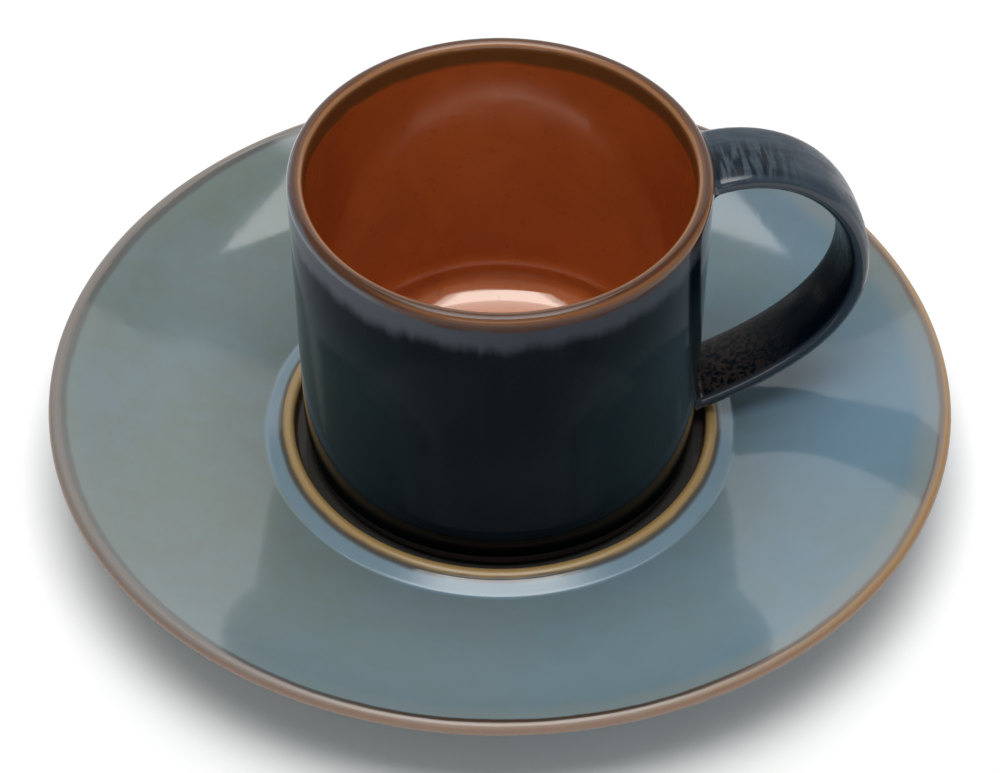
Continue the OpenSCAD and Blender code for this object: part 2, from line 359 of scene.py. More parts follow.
class Section:
    """Half section of a turned piece: points of radius and height, drawn in order."""

    least_step = 1e-7

    def __init__(self, radius: float, height: float) -> None:
        """Starts the outline at a point."""
        self.points: list[Point] = [(radius, height)]

    def line(self, radius: float, height: float, steps: int = 1) -> "Section":
        """Draws a straight line in equal steps.

        Args:
            radius: Radius of its end.
            height: Height of its end.
            steps: Number of steps.

        Returns:
            The section itself.
        """
        r0, z0 = self.points[-1]
        for i in range(1, steps + 1):
            share = i / steps
            self.points.append((r0 + (radius - r0) * share, z0 + (height - z0) * share))
        return self

    def arc(self, centre: Point, radius: float, start: float, stop: float, steps: int) -> "Section":
        """Draws an arc, with a straight line to its start.

        Args:
            centre: Radius and height of its centre.
            radius: Radius of the arc.
            start: Angle of its first point, in degrees up from pointing outwards.
            stop: Angle of its last point.
            steps: Number of steps.

        Returns:
            The section itself.
        """
        for i in range(steps + 1):
            angle = math.radians(start + (stop - start) * i / steps)
            self.points.append((centre[0] + radius * math.cos(angle), centre[1] + radius * math.sin(angle)))
        return self

    def bend(self, corner: Point, end: Point, steps: int) -> "Section":
        """Draws a soft bend that starts and ends along the two sides of a corner.

        Args:
            corner: The corner that it cuts.
            end: Its last point.
            steps: Number of steps.

        Returns:
            The section itself.
        """
        start = self.points[-1]
        for i in range(1, steps + 1):
            t = i / steps
            shares = ((1 - t) ** 2, 2 * t * (1 - t), t * t)
            radius = sum(share * point[0] for share, point in zip(shares, (start, corner, end)))
            height = sum(share * point[1] for share, point in zip(shares, (start, corner, end)))
            self.points.append((radius, height))
        return self

    def follow(self, curve: Callable[[float], float], start: float, stop: float, steps: int) -> "Section":
        """Draws a height that is a function of the radius.

        Args:
            curve: The function.
            start: Radius of its first point.
            stop: Radius of its last point.
            steps: Number of steps.

        Returns:
            The section itself.
        """
        for i in range(steps + 1):
            radius = start + (stop - start) * i / steps
            self.points.append((radius, curve(radius)))
        return self

    def back_along(self, other: "Section") -> "Section":
        """Draws another section's points from its last one back to its first."""
        self.points += other.points[::-1]
        return self

    def close(self) -> "Section":
        """Draws back to the first point."""
        self.points.append(self.points[0])
        return self

    def outline(self) -> list[Point]:
        """Gives the points without repeats, in the order that turns the faces outwards.

        Returns:
            The points, clockwise round the clay with the radius to the right.
        """
        tidy = [self.points[0]]
        for point in self.points[1:]:
            if math.dist(point, tidy[-1]) > self.least_step:
                tidy.append(point)
        area = 0.0
        for (r0, z0), (r1, z1) in zip(tidy, tidy[1:] + tidy[:1]):
            area += r0 * z1 - r1 * z0
        return tidy if area < 0 else tidy[::-1]


@dataclass(frozen=True)
class Hand:
    """What the potter's hand leaves in a thrown piece, the same all through the object."""

    waviness: float = 0.05 * MM
    wave_scale: float = 38.0
    warp: float = 0.6 * MM
    warp_start: float = 40 * MM
    warp_stop: float = 67 * MM
    warp_direction: float = -VIEW_TURN


class Wheel:
    """The potter's wheel: turns a section into a piece with a geometry node tree."""

    crisp_angle = math.radians(40)
    warp_power = 2.0

    def __init__(self, hand: Hand) -> None:
        """Builds the node tree.

        Args:
            hand: The unevenness that every piece shares.
        """
        self.former = Former("turned_on_the_wheel")
        former = self.former
        steps = former.take("Steps", "Int", 256)
        waviness = former.take("Waviness", "Float", hand.waviness)
        wave_scale = former.take("Wave Scale", "Float", hand.wave_scale)
        warp = former.take("Warp", "Float", 0.0)
        warp_start = former.take("Warp Start", "Float", hand.warp_start)
        warp_stop = former.take("Warp Stop", "Float", hand.warp_stop)
        warp_direction = former.take("Warp Direction", "Float", hand.warp_direction)

        points = former.add("GeometryNodeAttributeDomainSize", {0: former.blank}, component="MESH")
        grid, row, column = former.grid(points.outputs["Point Count"], steps)
        position = former.add("GeometryNodeInputPosition").outputs[0]
        source = {"Geometry": former.blank, "Value": position, "Index": row}
        sample = former.add("GeometryNodeSampleIndex", source, data_type="FLOAT_VECTOR", domain="POINT")
        radius, _, height = former.split(sample.outputs[0])
        angle = former.times(former.over(column, steps), math.tau)
        x = former.times(radius, former.math("COSINE", angle))
        y = former.times(radius, former.math("SINE", angle))
        spun = former.move(grid, Position=former.join(x, y, height))

        noise = former.noise(position, wave_scale, 1.0).outputs["Color"]
        wave = former.vector("SUBTRACT", noise, (0.5, 0.5, 0.5))
        wave = former.scaled(wave, former.times(waviness, 2.0))
        toward = former.math("MAXIMUM", former.math("COSINE", former.minus(angle, warp_direction)), 0.0)
        share = former.times(
            former.math("POWER", toward, self.warp_power), former.between(radius, warp_start, warp_stop)
        )
        drop = former.times(share, former.times(warp, -1.0))
        uneven = former.move(spun, Offset=former.vector("ADD", wave, former.join(0.0, 0.0, drop)))

        welded = former.weld(uneven)
        bend = former.add("GeometryNodeInputMeshEdgeAngle").outputs["Unsigned Angle"]
        crisp = former.math("GREATER_THAN", bend, self.crisp_angle)
        former.hand_out(former.mark(welded, "sharp_edge", crisp, "BOOLEAN", "EDGE"))

    def turn(
        self, name: str, section: Section, finish: bpy.types.Material, steps: int, warp: float = 0.0
    ) -> bpy.types.Object:
        """Turns a section into a finished piece.

        Args:
            name: Name of the piece.
            section: Its half section.
            finish: Its material.
            steps: Number of faces round the axis.
            warp: How far its rim drops on one side.

        Returns:
            The piece, as a plain mesh object at the origin.
        """
        outline = section.outline()
        corners = [(radius, 0.0, height) for radius, height in outline]
        blank = bpy.data.meshes.new(f"{name}_section")
        blank.from_pydata(corners, [(i, i + 1) for i in range(len(outline) - 1)], [])
        piece = bpy.data.objects.new(name, blank)
        bpy.context.scene.collection.objects.link(piece)
        return bake(piece, self.former, {"Steps": steps, "Material": finish, "Warp": warp})


def bake(piece: bpy.types.Object, former: Former, inputs: dict[str, object]) -> bpy.types.Object:
    """Runs a geometry node tree on an object and keeps the result as a plain mesh.

    Args:
        piece: The object that holds the section or the path.
        former: The tree.
        inputs: Input name to value.

    Returns:
        A mesh object of the same name, with no modifier.
    """
    modifier = piece.modifiers.new(former.tree.name, "NODES")
    modifier.node_group = former.tree
    for key, value in inputs.items():
        modifier[former.identifier(key)] = value
    piece.update_tag()
    ready = piece.evaluated_get(bpy.context.evaluated_depsgraph_get())
    mesh = bpy.data.meshes.new_from_object(ready)
    name = piece.name
    bpy.data.objects.remove(piece)
    mesh.name = name
    mesh.materials.clear()
    mesh.materials.append(inputs["Material"])
    baked = bpy.data.objects.new(name, mesh)
    bpy.context.scene.collection.objects.link(baked)
    return baked


def dress(piece: bpy.types.Object, body: Body, slot: Slot, *nodes: str) -> None:
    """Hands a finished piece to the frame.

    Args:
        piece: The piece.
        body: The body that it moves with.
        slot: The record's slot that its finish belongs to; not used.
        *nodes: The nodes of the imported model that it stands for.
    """
    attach(piece, body.value)
    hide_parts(*nodes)
    log.info("%s: %d faces, rides on %s", piece.name, len(piece.data.polygons), body.value)


@dataclass(frozen=True)
class Effects:
    """Shader node groups that more than one finish uses."""

    turned_place: bpy.types.NodeTree
    wandering_edge: bpy.types.NodeTree
    mottle: bpy.types.NodeTree
    glaze_skin: bpy.types.NodeTree

    @classmethod
    def build(cls) -> "Effects":
        """Builds each group once."""
        return cls(cls._turned_place(), cls._wandering_edge(), cls._mottle(), cls._glaze_skin())

    @staticmethod
    def _turned_place() -> bpy.types.NodeTree:
        """Radius and height on a turned piece in millimetres, and how far it lies to one side.

        Returns:
            The group.
        """
        recipe = Recipe("turned_place", "ShaderNodeTree")
        x, y, z = recipe.split(recipe.take("Vector", "Vector"))
        recipe.give("Radius", "Float", recipe.over(recipe.off_axis(x, y), MM))
        recipe.give("Height", "Float", recipe.over(z, MM))
        back = recipe.times(y, -math.sin(VIEW_TURN) / SIDE_REACH)
        recipe.give("Side", "Float", recipe.math("MULTIPLY_ADD", x, math.cos(VIEW_TURN) / SIDE_REACH, back))
        return recipe.tree

    @staticmethod
    def _wandering_edge() -> bpy.types.NodeTree:
        """A soft step in a value, whose place wanders over the surface.

        Returns:
            The group.
        """
        recipe = Recipe("wandering_edge", "ShaderNodeTree")
        value = recipe.take("Value", "Float")
        edge = recipe.take("Edge", "Float")
        softness = recipe.take("Softness", "Float", 0.3)
        wander = recipe.take("Wander", "Float", 0.3)
        vector = recipe.take("Vector", "Vector")
        scale = recipe.take("Scale", "Float", 200.0)
        drift = recipe.minus(recipe.noise(vector, scale, 3.0).outputs[0], 0.5)
        moved = recipe.math("MULTIPLY_ADD", drift, recipe.times(wander, 4.0), value)
        mask = recipe.between(moved, recipe.minus(edge, softness), recipe.plus(edge, softness))
        recipe.give("Mask", "Float", mask)
        return recipe.tree

    @staticmethod
    def _mottle() -> bpy.types.NodeTree:
        """Cloudy patches in a glaze, as a mask from 0 to 1.

        Returns:
            The group.
        """
        recipe = Recipe("mottle", "ShaderNodeTree")
        vector = recipe.take("Vector", "Vector")
        scale = recipe.take("Scale", "Float", 60.0)
        spread = recipe.take("Spread", "Float", 0.2)
        cloud = recipe.noise(vector, scale, detail=5.0, distortion=0.4).outputs[0]
        mask = recipe.between(cloud, recipe.minus(0.5, spread), recipe.plus(0.5, spread))
        recipe.give("Mask", "Float", mask)
        return recipe.tree

    @staticmethod
    def _glaze_skin() -> bpy.types.NodeTree:
        """Relief of a fired glaze: a faint dimpled skin and a few pinholes.

        Returns:
            The group.
        """
        recipe = Recipe("glaze_skin", "ShaderNodeTree")
        vector = recipe.take("Vector", "Vector")
        dimples = recipe.take("Dimple Scale", "Float", 420.0)
        pinholes = recipe.take("Pinholes", "Float", 0.5)
        skin = recipe.noise(vector, dimples, 1.5).outputs[0]
        cell = recipe.add("ShaderNodeTexVoronoi", {"Vector": vector, "Scale": 330.0}, feature="F1")
        hole = recipe.between(cell.outputs["Distance"], 0.03, 0.09, 1.0, 0.0)
        rare = recipe.between(recipe.noise(vector, 140.0, 1.0).outputs[0], 0.62, 0.66)
        depth = recipe.times(recipe.times(hole, rare), pinholes)
        recipe.give("Height", "Float", recipe.minus(skin, depth))
        return recipe.tree


class Finish:
    """A material under construction: its tree, its place on the surface and its colour."""

    coat_roughness = 0.08

    def __init__(self, name: str, effects: Effects) -> None:
        """Starts a material with the surface's own coordinates.

        Args:
            name: Name of the material.
            effects: The shared groups.
        """
        self.material = bpy.data.materials.new(name)
        self.material.use_nodes = True
        self.material.node_tree.nodes.clear()
        self.graph = Graph(self.material.node_tree)
        self.effects = effects
        self.colour: object = WHITE
        self.place = self.graph.add("ShaderNodeTexCoord").outputs["Object"]
        turned = self.graph.place(effects.turned_place, Vector=self.place)
        self.radius = turned.outputs["Radius"]
        self.height = turned.outputs["Height"]
        self.side = turned.outputs["Side"]

    def lay(self, colour: object, mask: Socket, strength: object = 1.0) -> None:
        """Lays a colour over what is there.

        Args:
            colour: The colour, as a value or a socket.
            mask: Where it lies.
            strength: How much of it lies there, as a value or a socket.
        """
        if strength != 1.0:
            mask = self.graph.times(mask, strength)
        self.colour = self.graph.blend(mask, self.colour, colour)

    def edge(self, value: Socket, at: float, softness: float, wander: float, scale: float = 160.0) -> Socket:
        """Masks what lies past a value, with a wandering edge.

        Args:
            value: The value, in millimetres.
            at: Where the edge is.
            softness: Half its width.
            wander: How far it wanders.
            scale: How finely it wanders.

        Returns:
            The mask.
        """
        inputs = {"Value": value, "Edge": at, "Softness": softness, "Wander": wander, "Scale": scale}
        return self.graph.place(self.effects.wandering_edge, Vector=self.place, **inputs).outputs[0]

    def before(
        self, value: Socket, at: float, softness: float, wander: float, scale: float = 160.0
    ) -> Socket:
        """Masks what lies short of a value, in millimetres, with a wandering edge."""
        return self.graph.rest(self.edge(value, at, softness, wander, scale))

    def band(self, value: Socket, low: float, high: float, softness: float, wander: float) -> Socket:
        """Masks a band between two values, in millimetres, with wandering edges."""
        inside = self.edge(value, low, softness, wander)
        return self.graph.times(inside, self.before(value, high, softness, wander, scale=190.0))

    def mottle(self, vector: Socket, scale: float, spread: float) -> Socket:
        """Masks cloudy patches of a scale, read at a vector."""
        return self.graph.place(self.effects.mottle, Vector=vector, Scale=scale, Spread=spread).outputs[0]

    def clouds(self, scale: float, spread: float, stretch: tuple[float, float, float] = (1, 1, 1)) -> Socket:
        """Masks cloudy patches of a scale, drawn out along an axis by a stretch below 1."""
        return self.mottle(self.graph.vector("MULTIPLY", self.place, stretch), scale, spread)

    def relief(self, dimples: float, pinholes: float, depth: float, strength: float) -> Socket:
        """Gives the normal of the glaze's dimpled skin.

        Args:
            dimples: How fine the dimples are.
            pinholes: Depth of the pinholes beside that of the dimples.
            depth: Depth of the relief.
            strength: How much of it shows.

        Returns:
            The normal.
        """
        inputs = {"Vector": self.place, "Dimple_Scale": dimples, "Pinholes": pinholes}
        skin = self.graph.place(self.effects.glaze_skin, **inputs).outputs[0]
        return self.bump(skin, depth, strength)

    def bump(self, height: Socket, depth: float, strength: float) -> Socket:
        """Turns a height from 0 to 1 into a normal, for a depth in metres."""
        inputs = {"Height": height, "Distance": depth, "Strength": strength}
        return self.graph.add("ShaderNodeBump", inputs).outputs[0]

    def shade(
        self,
        roughness: object,
        normal: Socket,
        ior: float,
        coat: object = 0.0,
        gleam: object = 0.5,
        tint: Colour = WHITE,
    ) -> bpy.types.Material:
        """Joins the shader to the output.

        Args:
            roughness: Roughness, as a value or a socket.
            normal: Normal.
            ior: Refractive index of the surface.
            coat: Weight of a glassy coat, as a value or a socket.
            gleam: Strength of the mirror reflection, 0.5 being that of the refractive index.
            tint: Colour of the mirror reflection.

        Returns:
            The finished material.
        """
        inputs = {"Base Color": self.colour, "Roughness": roughness, "Normal": normal, "IOR": ior}
        mirror = {"Specular IOR Level": gleam, "Specular Tint": tint}
        coating = {"Coat Weight": coat, "Coat Roughness": self.coat_roughness, "Coat Normal": normal}
        shader = self.graph.add("ShaderNodeBsdfPrincipled", {**inputs, **mirror, **coating})
        self.graph.add("ShaderNodeOutputMaterial", {"Surface": shader.outputs[0]})
        return self.material


@dataclass(frozen=True)
class GreyBlueGlaze:
    """The saucer's glaze: green-grey to blue-grey, thin and brown where it breaks over edges."""

    ridge_start: float
    ridge_stop: float
    pool_stop: float
    rim: float
    green_grey: Colour = srgb(109, 119, 115)
    blue_grey: Colour = srgb(99, 122, 136)
    slate: Colour = srgb(96, 116, 126)
    moss: Colour = srgb(100, 112, 98)
    pooled: Colour = srgb(114, 140, 156)
    # Painted light: a paler blue patch beside the handle, a paler front, and the centre of the patch.
    handle_painted_light: Colour = srgb(104, 135, 157)
    front_painted_light: Colour = srgb(120, 146, 158)
    handle_painted_light_place: tuple[float, float, float] = (56 * MM, -12 * MM, 12 * MM)
    # Painted shade: the well's brown glaze, darkened to near-black as shade under the cup.
    well: Colour = srgb(44, 31, 20)
    ochre: Colour = srgb(160, 131, 80)
    brown: Colour = srgb(66, 48, 36)
    sand: Colour = srgb(116, 102, 92)
    toast: Colour = srgb(126, 88, 62)
    moss_rim: Colour = srgb(140, 138, 124)
    ash_rim: Colour = srgb(142, 122, 106)
    mauve_rim: Colour = srgb(120, 106, 98)
    dusk: Colour = srgb(84, 76, 74)
    ochre_rim: Colour = srgb(156, 118, 68)
    ior: float = 1.62

    def build(self, effects: Effects) -> bpy.types.Material:
        """Builds the material.

        Args:
            effects: The shared groups.

        Returns:
            The material.
        """
        finish = Finish(Slot.GREY_BLUE.value, effects)
        self.colour_flange(finish)
        well, pool, crest = self.colour_ridge(finish)
        lip = self.colour_rim(finish)
        graph = finish.graph
        rough = graph.between(finish.clouds(90.0, spread=0.3), 0.0, 1.0, 0.06, 0.1)
        rough = graph.math("MULTIPLY_ADD", pool, 0.12, rough)
        rough = graph.math("MULTIPLY_ADD", graph.math("MAXIMUM", crest, lip), 0.28, rough)
        gleam = graph.math("MULTIPLY_ADD", well, -0.42, 0.5)
        normal = finish.relief(dimples=380.0, pinholes=0.4, depth=0.02 * MM, strength=0.35)
        return finish.shade(rough, normal, self.ior, gleam=gleam)

    def colour_flange(self, finish: Finish) -> None:
        """Colours the flange, greener on the left and bluer on the right, with painted light: paler at the
        front and a paler blue patch beside the handle.

        Args:
            finish: The material.
        """
        graph = finish.graph
        drift = graph.math("MULTIPLY_ADD", finish.clouds(34.0, spread=0.22), 0.75, finish.side)
        finish.colour = graph.blend(graph.between(drift, -0.35, 1.35), self.green_grey, self.blue_grey)
        finish.lay(self.slate, finish.clouds(14.0, spread=0.16), strength=0.35)
        finish.lay(self.moss, finish.clouds(52.0, spread=0.1), strength=0.3)
        finish.lay(self.pooled, finish.clouds(260.0, spread=0.2), strength=0.14)
        # Painted light: the flange is painted paler and bluer toward the front, where the cup shades it.
        _, back, _ = graph.split(finish.place)
        finish.lay(self.front_painted_light, graph.between(back, -60 * MM, -15 * MM, 0.4, 0.0))
        # Painted light: a paler blue patch beside the handle, lightening its shadow and reflection on the
        # flange.
        away = graph.distance(finish.place, self.handle_painted_light_place)
        finish.lay(self.handle_painted_light, graph.between(away, 4 * MM, 28 * MM, 0.65, 0.0))

    def colour_ridge(self, finish: Finish) -> tuple[Socket, Socket, Socket]:
        """Colours the well, its brown darkened to near-black as painted shade under the cup, and the ridge
        and the pool of glaze round it, on the top side only.

        Args:
            finish: The material.

        Returns:
            Masks of the well, of the pool and of the ridge's crest.
        """
        graph = finish.graph
        radius = finish.radius
        on_top = graph.between(finish.height, 3.0, 4.5)
        pool = finish.band(radius, self.ridge_stop, self.pool_stop, softness=0.4, wander=0.22)
        pool = graph.times(pool, on_top)
        finish.lay(self.pooled, pool, strength=0.8)
        # Painted shade: the well under the cup is painted near-black brown, its brown glaze darkened as
        # shade.
        well = graph.times(finish.before(radius, self.ridge_start, softness=0.3, wander=0.1), on_top)
        finish.lay(self.well, well, strength=0.85)
        flank = finish.band(radius, self.ridge_start - 0.5, self.ridge_stop, softness=0.25, wander=0.1)
        finish.lay(self.brown, graph.times(flank, on_top), strength=0.75)
        low, high = self.ridge_start + 0.15, self.ridge_stop - 0.65
        crest = graph.times(finish.band(radius, low, high, softness=0.3, wander=0.12), on_top)
        finish.lay(self.ochre, crest, strength=0.95)
        return well, pool, crest

    def colour_rim(self, finish: Finish) -> Socket:
        """Colours the lip, where the glaze thins to a dark line and then to brown.

        Args:
            finish: The material.

        Returns:
            Mask of the rim.
        """
        graph = finish.graph
        radius = finish.radius
        side = finish.side
        thin = finish.edge(radius, self.rim - 4.8, softness=1.6, wander=0.5)
        finish.lay(self.moss_rim, thin, strength=graph.between(side, -0.6, 0.8, 0.08, 0.36))
        spread = graph.plus(radius, graph.between(side, -0.9, -0.2, 0.9, 0.0))
        line = finish.band(spread, self.rim - 1.85, self.rim - 0.85, softness=0.3, wander=0.14)
        leftwards = graph.between(side, -0.8, -0.1)
        stain = graph.blend(leftwards, self.dusk, self.brown)
        stain = graph.blend(graph.between(side, 0.25, 0.85), stain, self.sand)
        finish.lay(stain, line, strength=graph.between(side, -0.75, -0.1, 0.6, 0.95))
        rim = graph.blend(leftwards, self.mauve_rim, self.ash_rim)
        rim = graph.blend(graph.between(side, 0.3, 1.0), rim, self.ochre_rim)
        lip = finish.edge(spread, self.rim - 0.95, softness=0.25, wander=0.12)
        finish.lay(rim, lip, strength=graph.between(side, -0.9, -0.1, 0.7, 0.9))
        outer = finish.edge(radius, self.rim - 0.3, softness=0.2, wander=0.08)
        finish.lay(self.toast, outer, strength=0.6)
        return lip


@dataclass(frozen=True)
class NavyGlaze:
    """The cup's outer glaze: near-black blue, milky below the lip and brown where it breaks."""

    top: float
    lip_radius: float
    foot: float
    strap_half: float
    navy: Colour = srgb(2, 7, 15)
    teal: Colour = srgb(8, 20, 28)
    # Painted reflection on the wall's left and right sides.
    painted_reflection: Colour = srgb(36, 50, 52)
    ink: Colour = srgb(0, 1, 2)
    milk: Colour = srgb(66, 72, 80)
    ash: Colour = srgb(96, 102, 110)
    brown: Colour = srgb(74, 42, 18)
    fawn: Colour = srgb(134, 88, 54)
    # Tan of the painted highlight on the lip's inner shoulder.
    tan: Colour = srgb(156, 110, 76)
    olive: Colour = srgb(100, 62, 32)
    rust: Colour = srgb(160, 78, 35)
    slate: Colour = srgb(67, 77, 87)
    edge_blue: Colour = srgb(62, 76, 90)
    umber: Colour = srgb(48, 41, 38)
    ior: float = 1.18

    def build(self, effects: Effects) -> bpy.types.Material:
        """Builds the material of the wall and the lip.

        Args:
            effects: The shared groups.

        Returns:
            The material.
        """
        finish = Finish(Slot.NAVY.value, effects)
        graph = finish.graph
        streaks = self.colour_wall(finish)
        self.colour_lip(finish)
        rough = graph.between(streaks, 0.0, 1.0, 0.07, 0.12)
        normal = finish.relief(dimples=520.0, pinholes=0.8, depth=0.02 * MM, strength=0.4)
        coat = graph.times(finish.edge(finish.height, self.top - 1.6, softness=0.8, wander=0.0), 0.6)
        return finish.shade(rough, normal, self.ior, coat)

    def colour_wall(self, finish: Finish) -> Socket:
        """Colours the wall, darker at its foot, lighter at its sides as a painted reflection, and with a
        milky veil running down from the lip.

        Args:
            finish: The material.

        Returns:
            Mask of the fine streaks in the glaze.
        """
        graph = finish.graph
        height = finish.height
        streaks = finish.clouds(420.0, spread=0.25, stretch=(1.0, 1.0, 0.06))
        finish.colour = graph.blend(finish.clouds(60.0, spread=0.25), self.navy, self.teal)
        finish.lay(self.teal, streaks, strength=0.25)
        # Painted reflection: the wall's left and right sides are painted lighter, most in its lower part.
        aside = graph.between(graph.math("ABSOLUTE", finish.side), 0.1, 0.34, 0.0, 0.6)
        lower = graph.between(height, self.top - 22.0, self.top - 8.0, 1.0, 0.2)
        finish.lay(self.painted_reflection, aside, strength=lower)
        low = finish.before(height, self.foot + 6.0, softness=5.0, wander=0.6, scale=60.0)
        finish.lay(self.ink, low, strength=0.9)
        run = graph.math("MULTIPLY_ADD", streaks, 1.1, height)
        veil = finish.edge(run, self.top - 5.0, softness=1.6, wander=0.5, scale=120.0)
        milk = graph.blend(graph.between(finish.side, -0.45, 0.1), self.ash, self.milk)
        finish.lay(milk, veil, strength=0.8)
        return streaks

    def colour_lip(self, finish: Finish) -> None:
        """Colours the lip, where the glaze thins to the clay's brown, and its inner side, with a painted
        highlight in tan on the lip's inner shoulder.

        Args:
            finish: The material.
        """
        graph = finish.graph
        radius, height, side = finish.radius, finish.height, finish.side
        over = graph.plus(graph.minus(radius, self.lip_radius), graph.minus(self.top, height))
        beyond = graph.minus(over, graph.between(side, -0.5, -0.08, 0.8, 3.4))
        near_lip = finish.edge(height, self.top - 4.5, softness=0.2, wander=0.0)
        bare = graph.times(finish.before(beyond, 0.0, softness=0.5, wander=0.3), near_lip)
        outer = graph.times(graph.between(over, 0.6, 1.3), graph.between(beyond, -1.9, -0.9, 0.8, 0.0))
        finish.lay(graph.blend(outer, self.brown, self.fawn), bare, strength=0.92)
        # Painted highlight: a faint tan over the lip's inner half.
        inner = finish.before(radius, self.lip_radius - 0.05, softness=0.25, wander=0.08)
        finish.lay(self.tan, graph.times(inner, near_lip), strength=0.2)
        # Painted highlight: a tan line along the top of the lip's inner shoulder.
        line = finish.before(radius, self.lip_radius - 0.5, softness=0.18, wander=0.06)
        upper = finish.edge(height, self.top - 1.1, softness=0.2, wander=0.08)
        finish.lay(self.tan, graph.times(line, upper), strength=0.8)
        past = finish.before(radius, self.lip_radius - 0.98, softness=0.12, wander=0.03)
        down = finish.before(height, self.top - 3.4, softness=0.6, wander=0.4)
        finish.lay(graph.blend(down, self.olive, self.rust), past, strength=near_lip)

    def build_strap(self, effects: Effects) -> bpy.types.Material:
        """Builds the material of the strap, whose glaze ran along it and broke over its edges.

        Args:
            effects: The shared groups.

        Returns:
            The material.
        """
        finish = Finish("navy_glaze_strap", effects)
        graph = finish.graph
        strap = graph.add("ShaderNodeAttribute", attribute_type="GEOMETRY", attribute_name=STRAP_PLACE)
        along, across, out = graph.split(strap.outputs["Vector"])
        pulled = finish.mottle(graph.join(graph.times(along, 0.02), across, out), 900.0, spread=0.18)
        finish.colour = graph.blend(finish.clouds(110.0, spread=0.25), self.navy, self.teal)
        facing_out = graph.between(out, 0.2 * MM, 1.4 * MM)
        finish.lay(self.slate, facing_out, strength=graph.between(along, 0.3, 0.55, 0.9, 0.45))
        finish.lay(self.navy, pulled, strength=graph.between(along, 0.3, 0.5, 0.3, 0.45))
        crossways = graph.join(graph.times(along, 0.11), graph.times(across, 0.22), 0.0)
        at_root = graph.times(facing_out, graph.between(along, 0.1, 0.24, 0.75, 0.0))
        near_front = graph.between(across, 3 * MM, -1 * MM)
        crawled = finish.mottle(crossways, 800.0, spread=0.08)
        finish.lay(self.navy, crawled, strength=graph.times(at_root, near_front))
        off_middle = graph.over(graph.math("ABSOLUTE", across), MM)
        near_edge = graph.between(off_middle, self.strap_half - 1.0, self.strap_half - 0.3)
        finish.lay(self.edge_blue, near_edge, strength=0.4)
        low_end = graph.times(graph.between(out, -0.4 * MM, -1.4 * MM), graph.between(along, 0.7, 0.95))
        finish.lay(self.umber, low_end, strength=finish.clouds(1300.0, spread=0.08))
        rough = graph.between(pulled, 0.0, 1.0, 0.2, 0.34)
        normal = finish.relief(dimples=620.0, pinholes=1.0, depth=0.03 * MM, strength=0.5)
        return finish.shade(rough, normal, self.ior, graph.times(near_edge, 0.8))


@dataclass(frozen=True)
class RustGlaze:
    """The cup's lining: rust brown, warmer where it pools in the corner of the floor."""

    floor: float
    rust: Colour = srgb(166, 82, 36)
    umber: Colour = srgb(150, 71, 30)
    amber: Colour = srgb(184, 104, 54)
    speck: Colour = srgb(100, 46, 22)
    ior: float = 1.95
    tint: Colour = srgb(255, 248, 238)

    def build(self, effects: Effects) -> bpy.types.Material:
        """Builds the material.

        Args:
            effects: The shared groups.

        Returns:
            The material.
        """
        finish = Finish(Slot.RUST.value, effects)
        graph = finish.graph
        height = finish.height
        finish.colour = graph.blend(finish.clouds(90.0, spread=0.25), self.rust, self.umber)
        pool = finish.before(height, self.floor + 3.4, softness=1.2, wander=0.4)
        finish.lay(self.amber, pool, strength=0.7)
        shore = finish.band(height, self.floor + 3.8, self.floor + 5.4, softness=0.9, wander=0.3)
        finish.lay(self.speck, shore, strength=0.45)
        specks = graph.between(graph.noise(finish.place, 900.0, 1.0).outputs[0], 0.66, 0.74)
        finish.lay(self.speck, specks, strength=0.25)
        rough = graph.between(finish.clouds(120.0, spread=0.3), 0.0, 1.0, 0.08, 0.14)
        normal = finish.relief(dimples=450.0, pinholes=0.3, depth=0.02 * MM, strength=0.35)
        return finish.shade(rough, normal, self.ior, tint=self.tint)


@dataclass(frozen=True)
class FiredClay:
    """Bare stoneware: dark brown painted near-black as shade, gritty and dull."""

    # Painted shade: the clay's dark brown is darkened to near-black, as it shows only in the shade at the
    # cup's foot.
    toast: Colour = srgb(36, 27, 20)
    ash: Colour = srgb(26, 21, 18)
    grit: Colour = srgb(26, 20, 17)
    ior: float = 1.45

    def build(self, effects: Effects) -> bpy.types.Material:
        """Builds the material.

        Args:
            effects: The shared groups.

        Returns:
            The material.
        """
        finish = Finish(Slot.STONEWARE.value, effects)
        graph = finish.graph
        finish.colour = graph.blend(finish.clouds(120.0, spread=0.25), self.toast, self.ash)
        grain = graph.noise(finish.place, 1500.0, 3.0).outputs[0]
        finish.lay(self.grit, graph.between(graph.noise(finish.place, 700.0).outputs[0], 0.6, 0.68))
        rough = graph.between(grain, 0.3, 0.7, 0.75, 0.9)
        return finish.shade(rough, finish.bump(grain, 0.08 * MM, 0.6), self.ior)


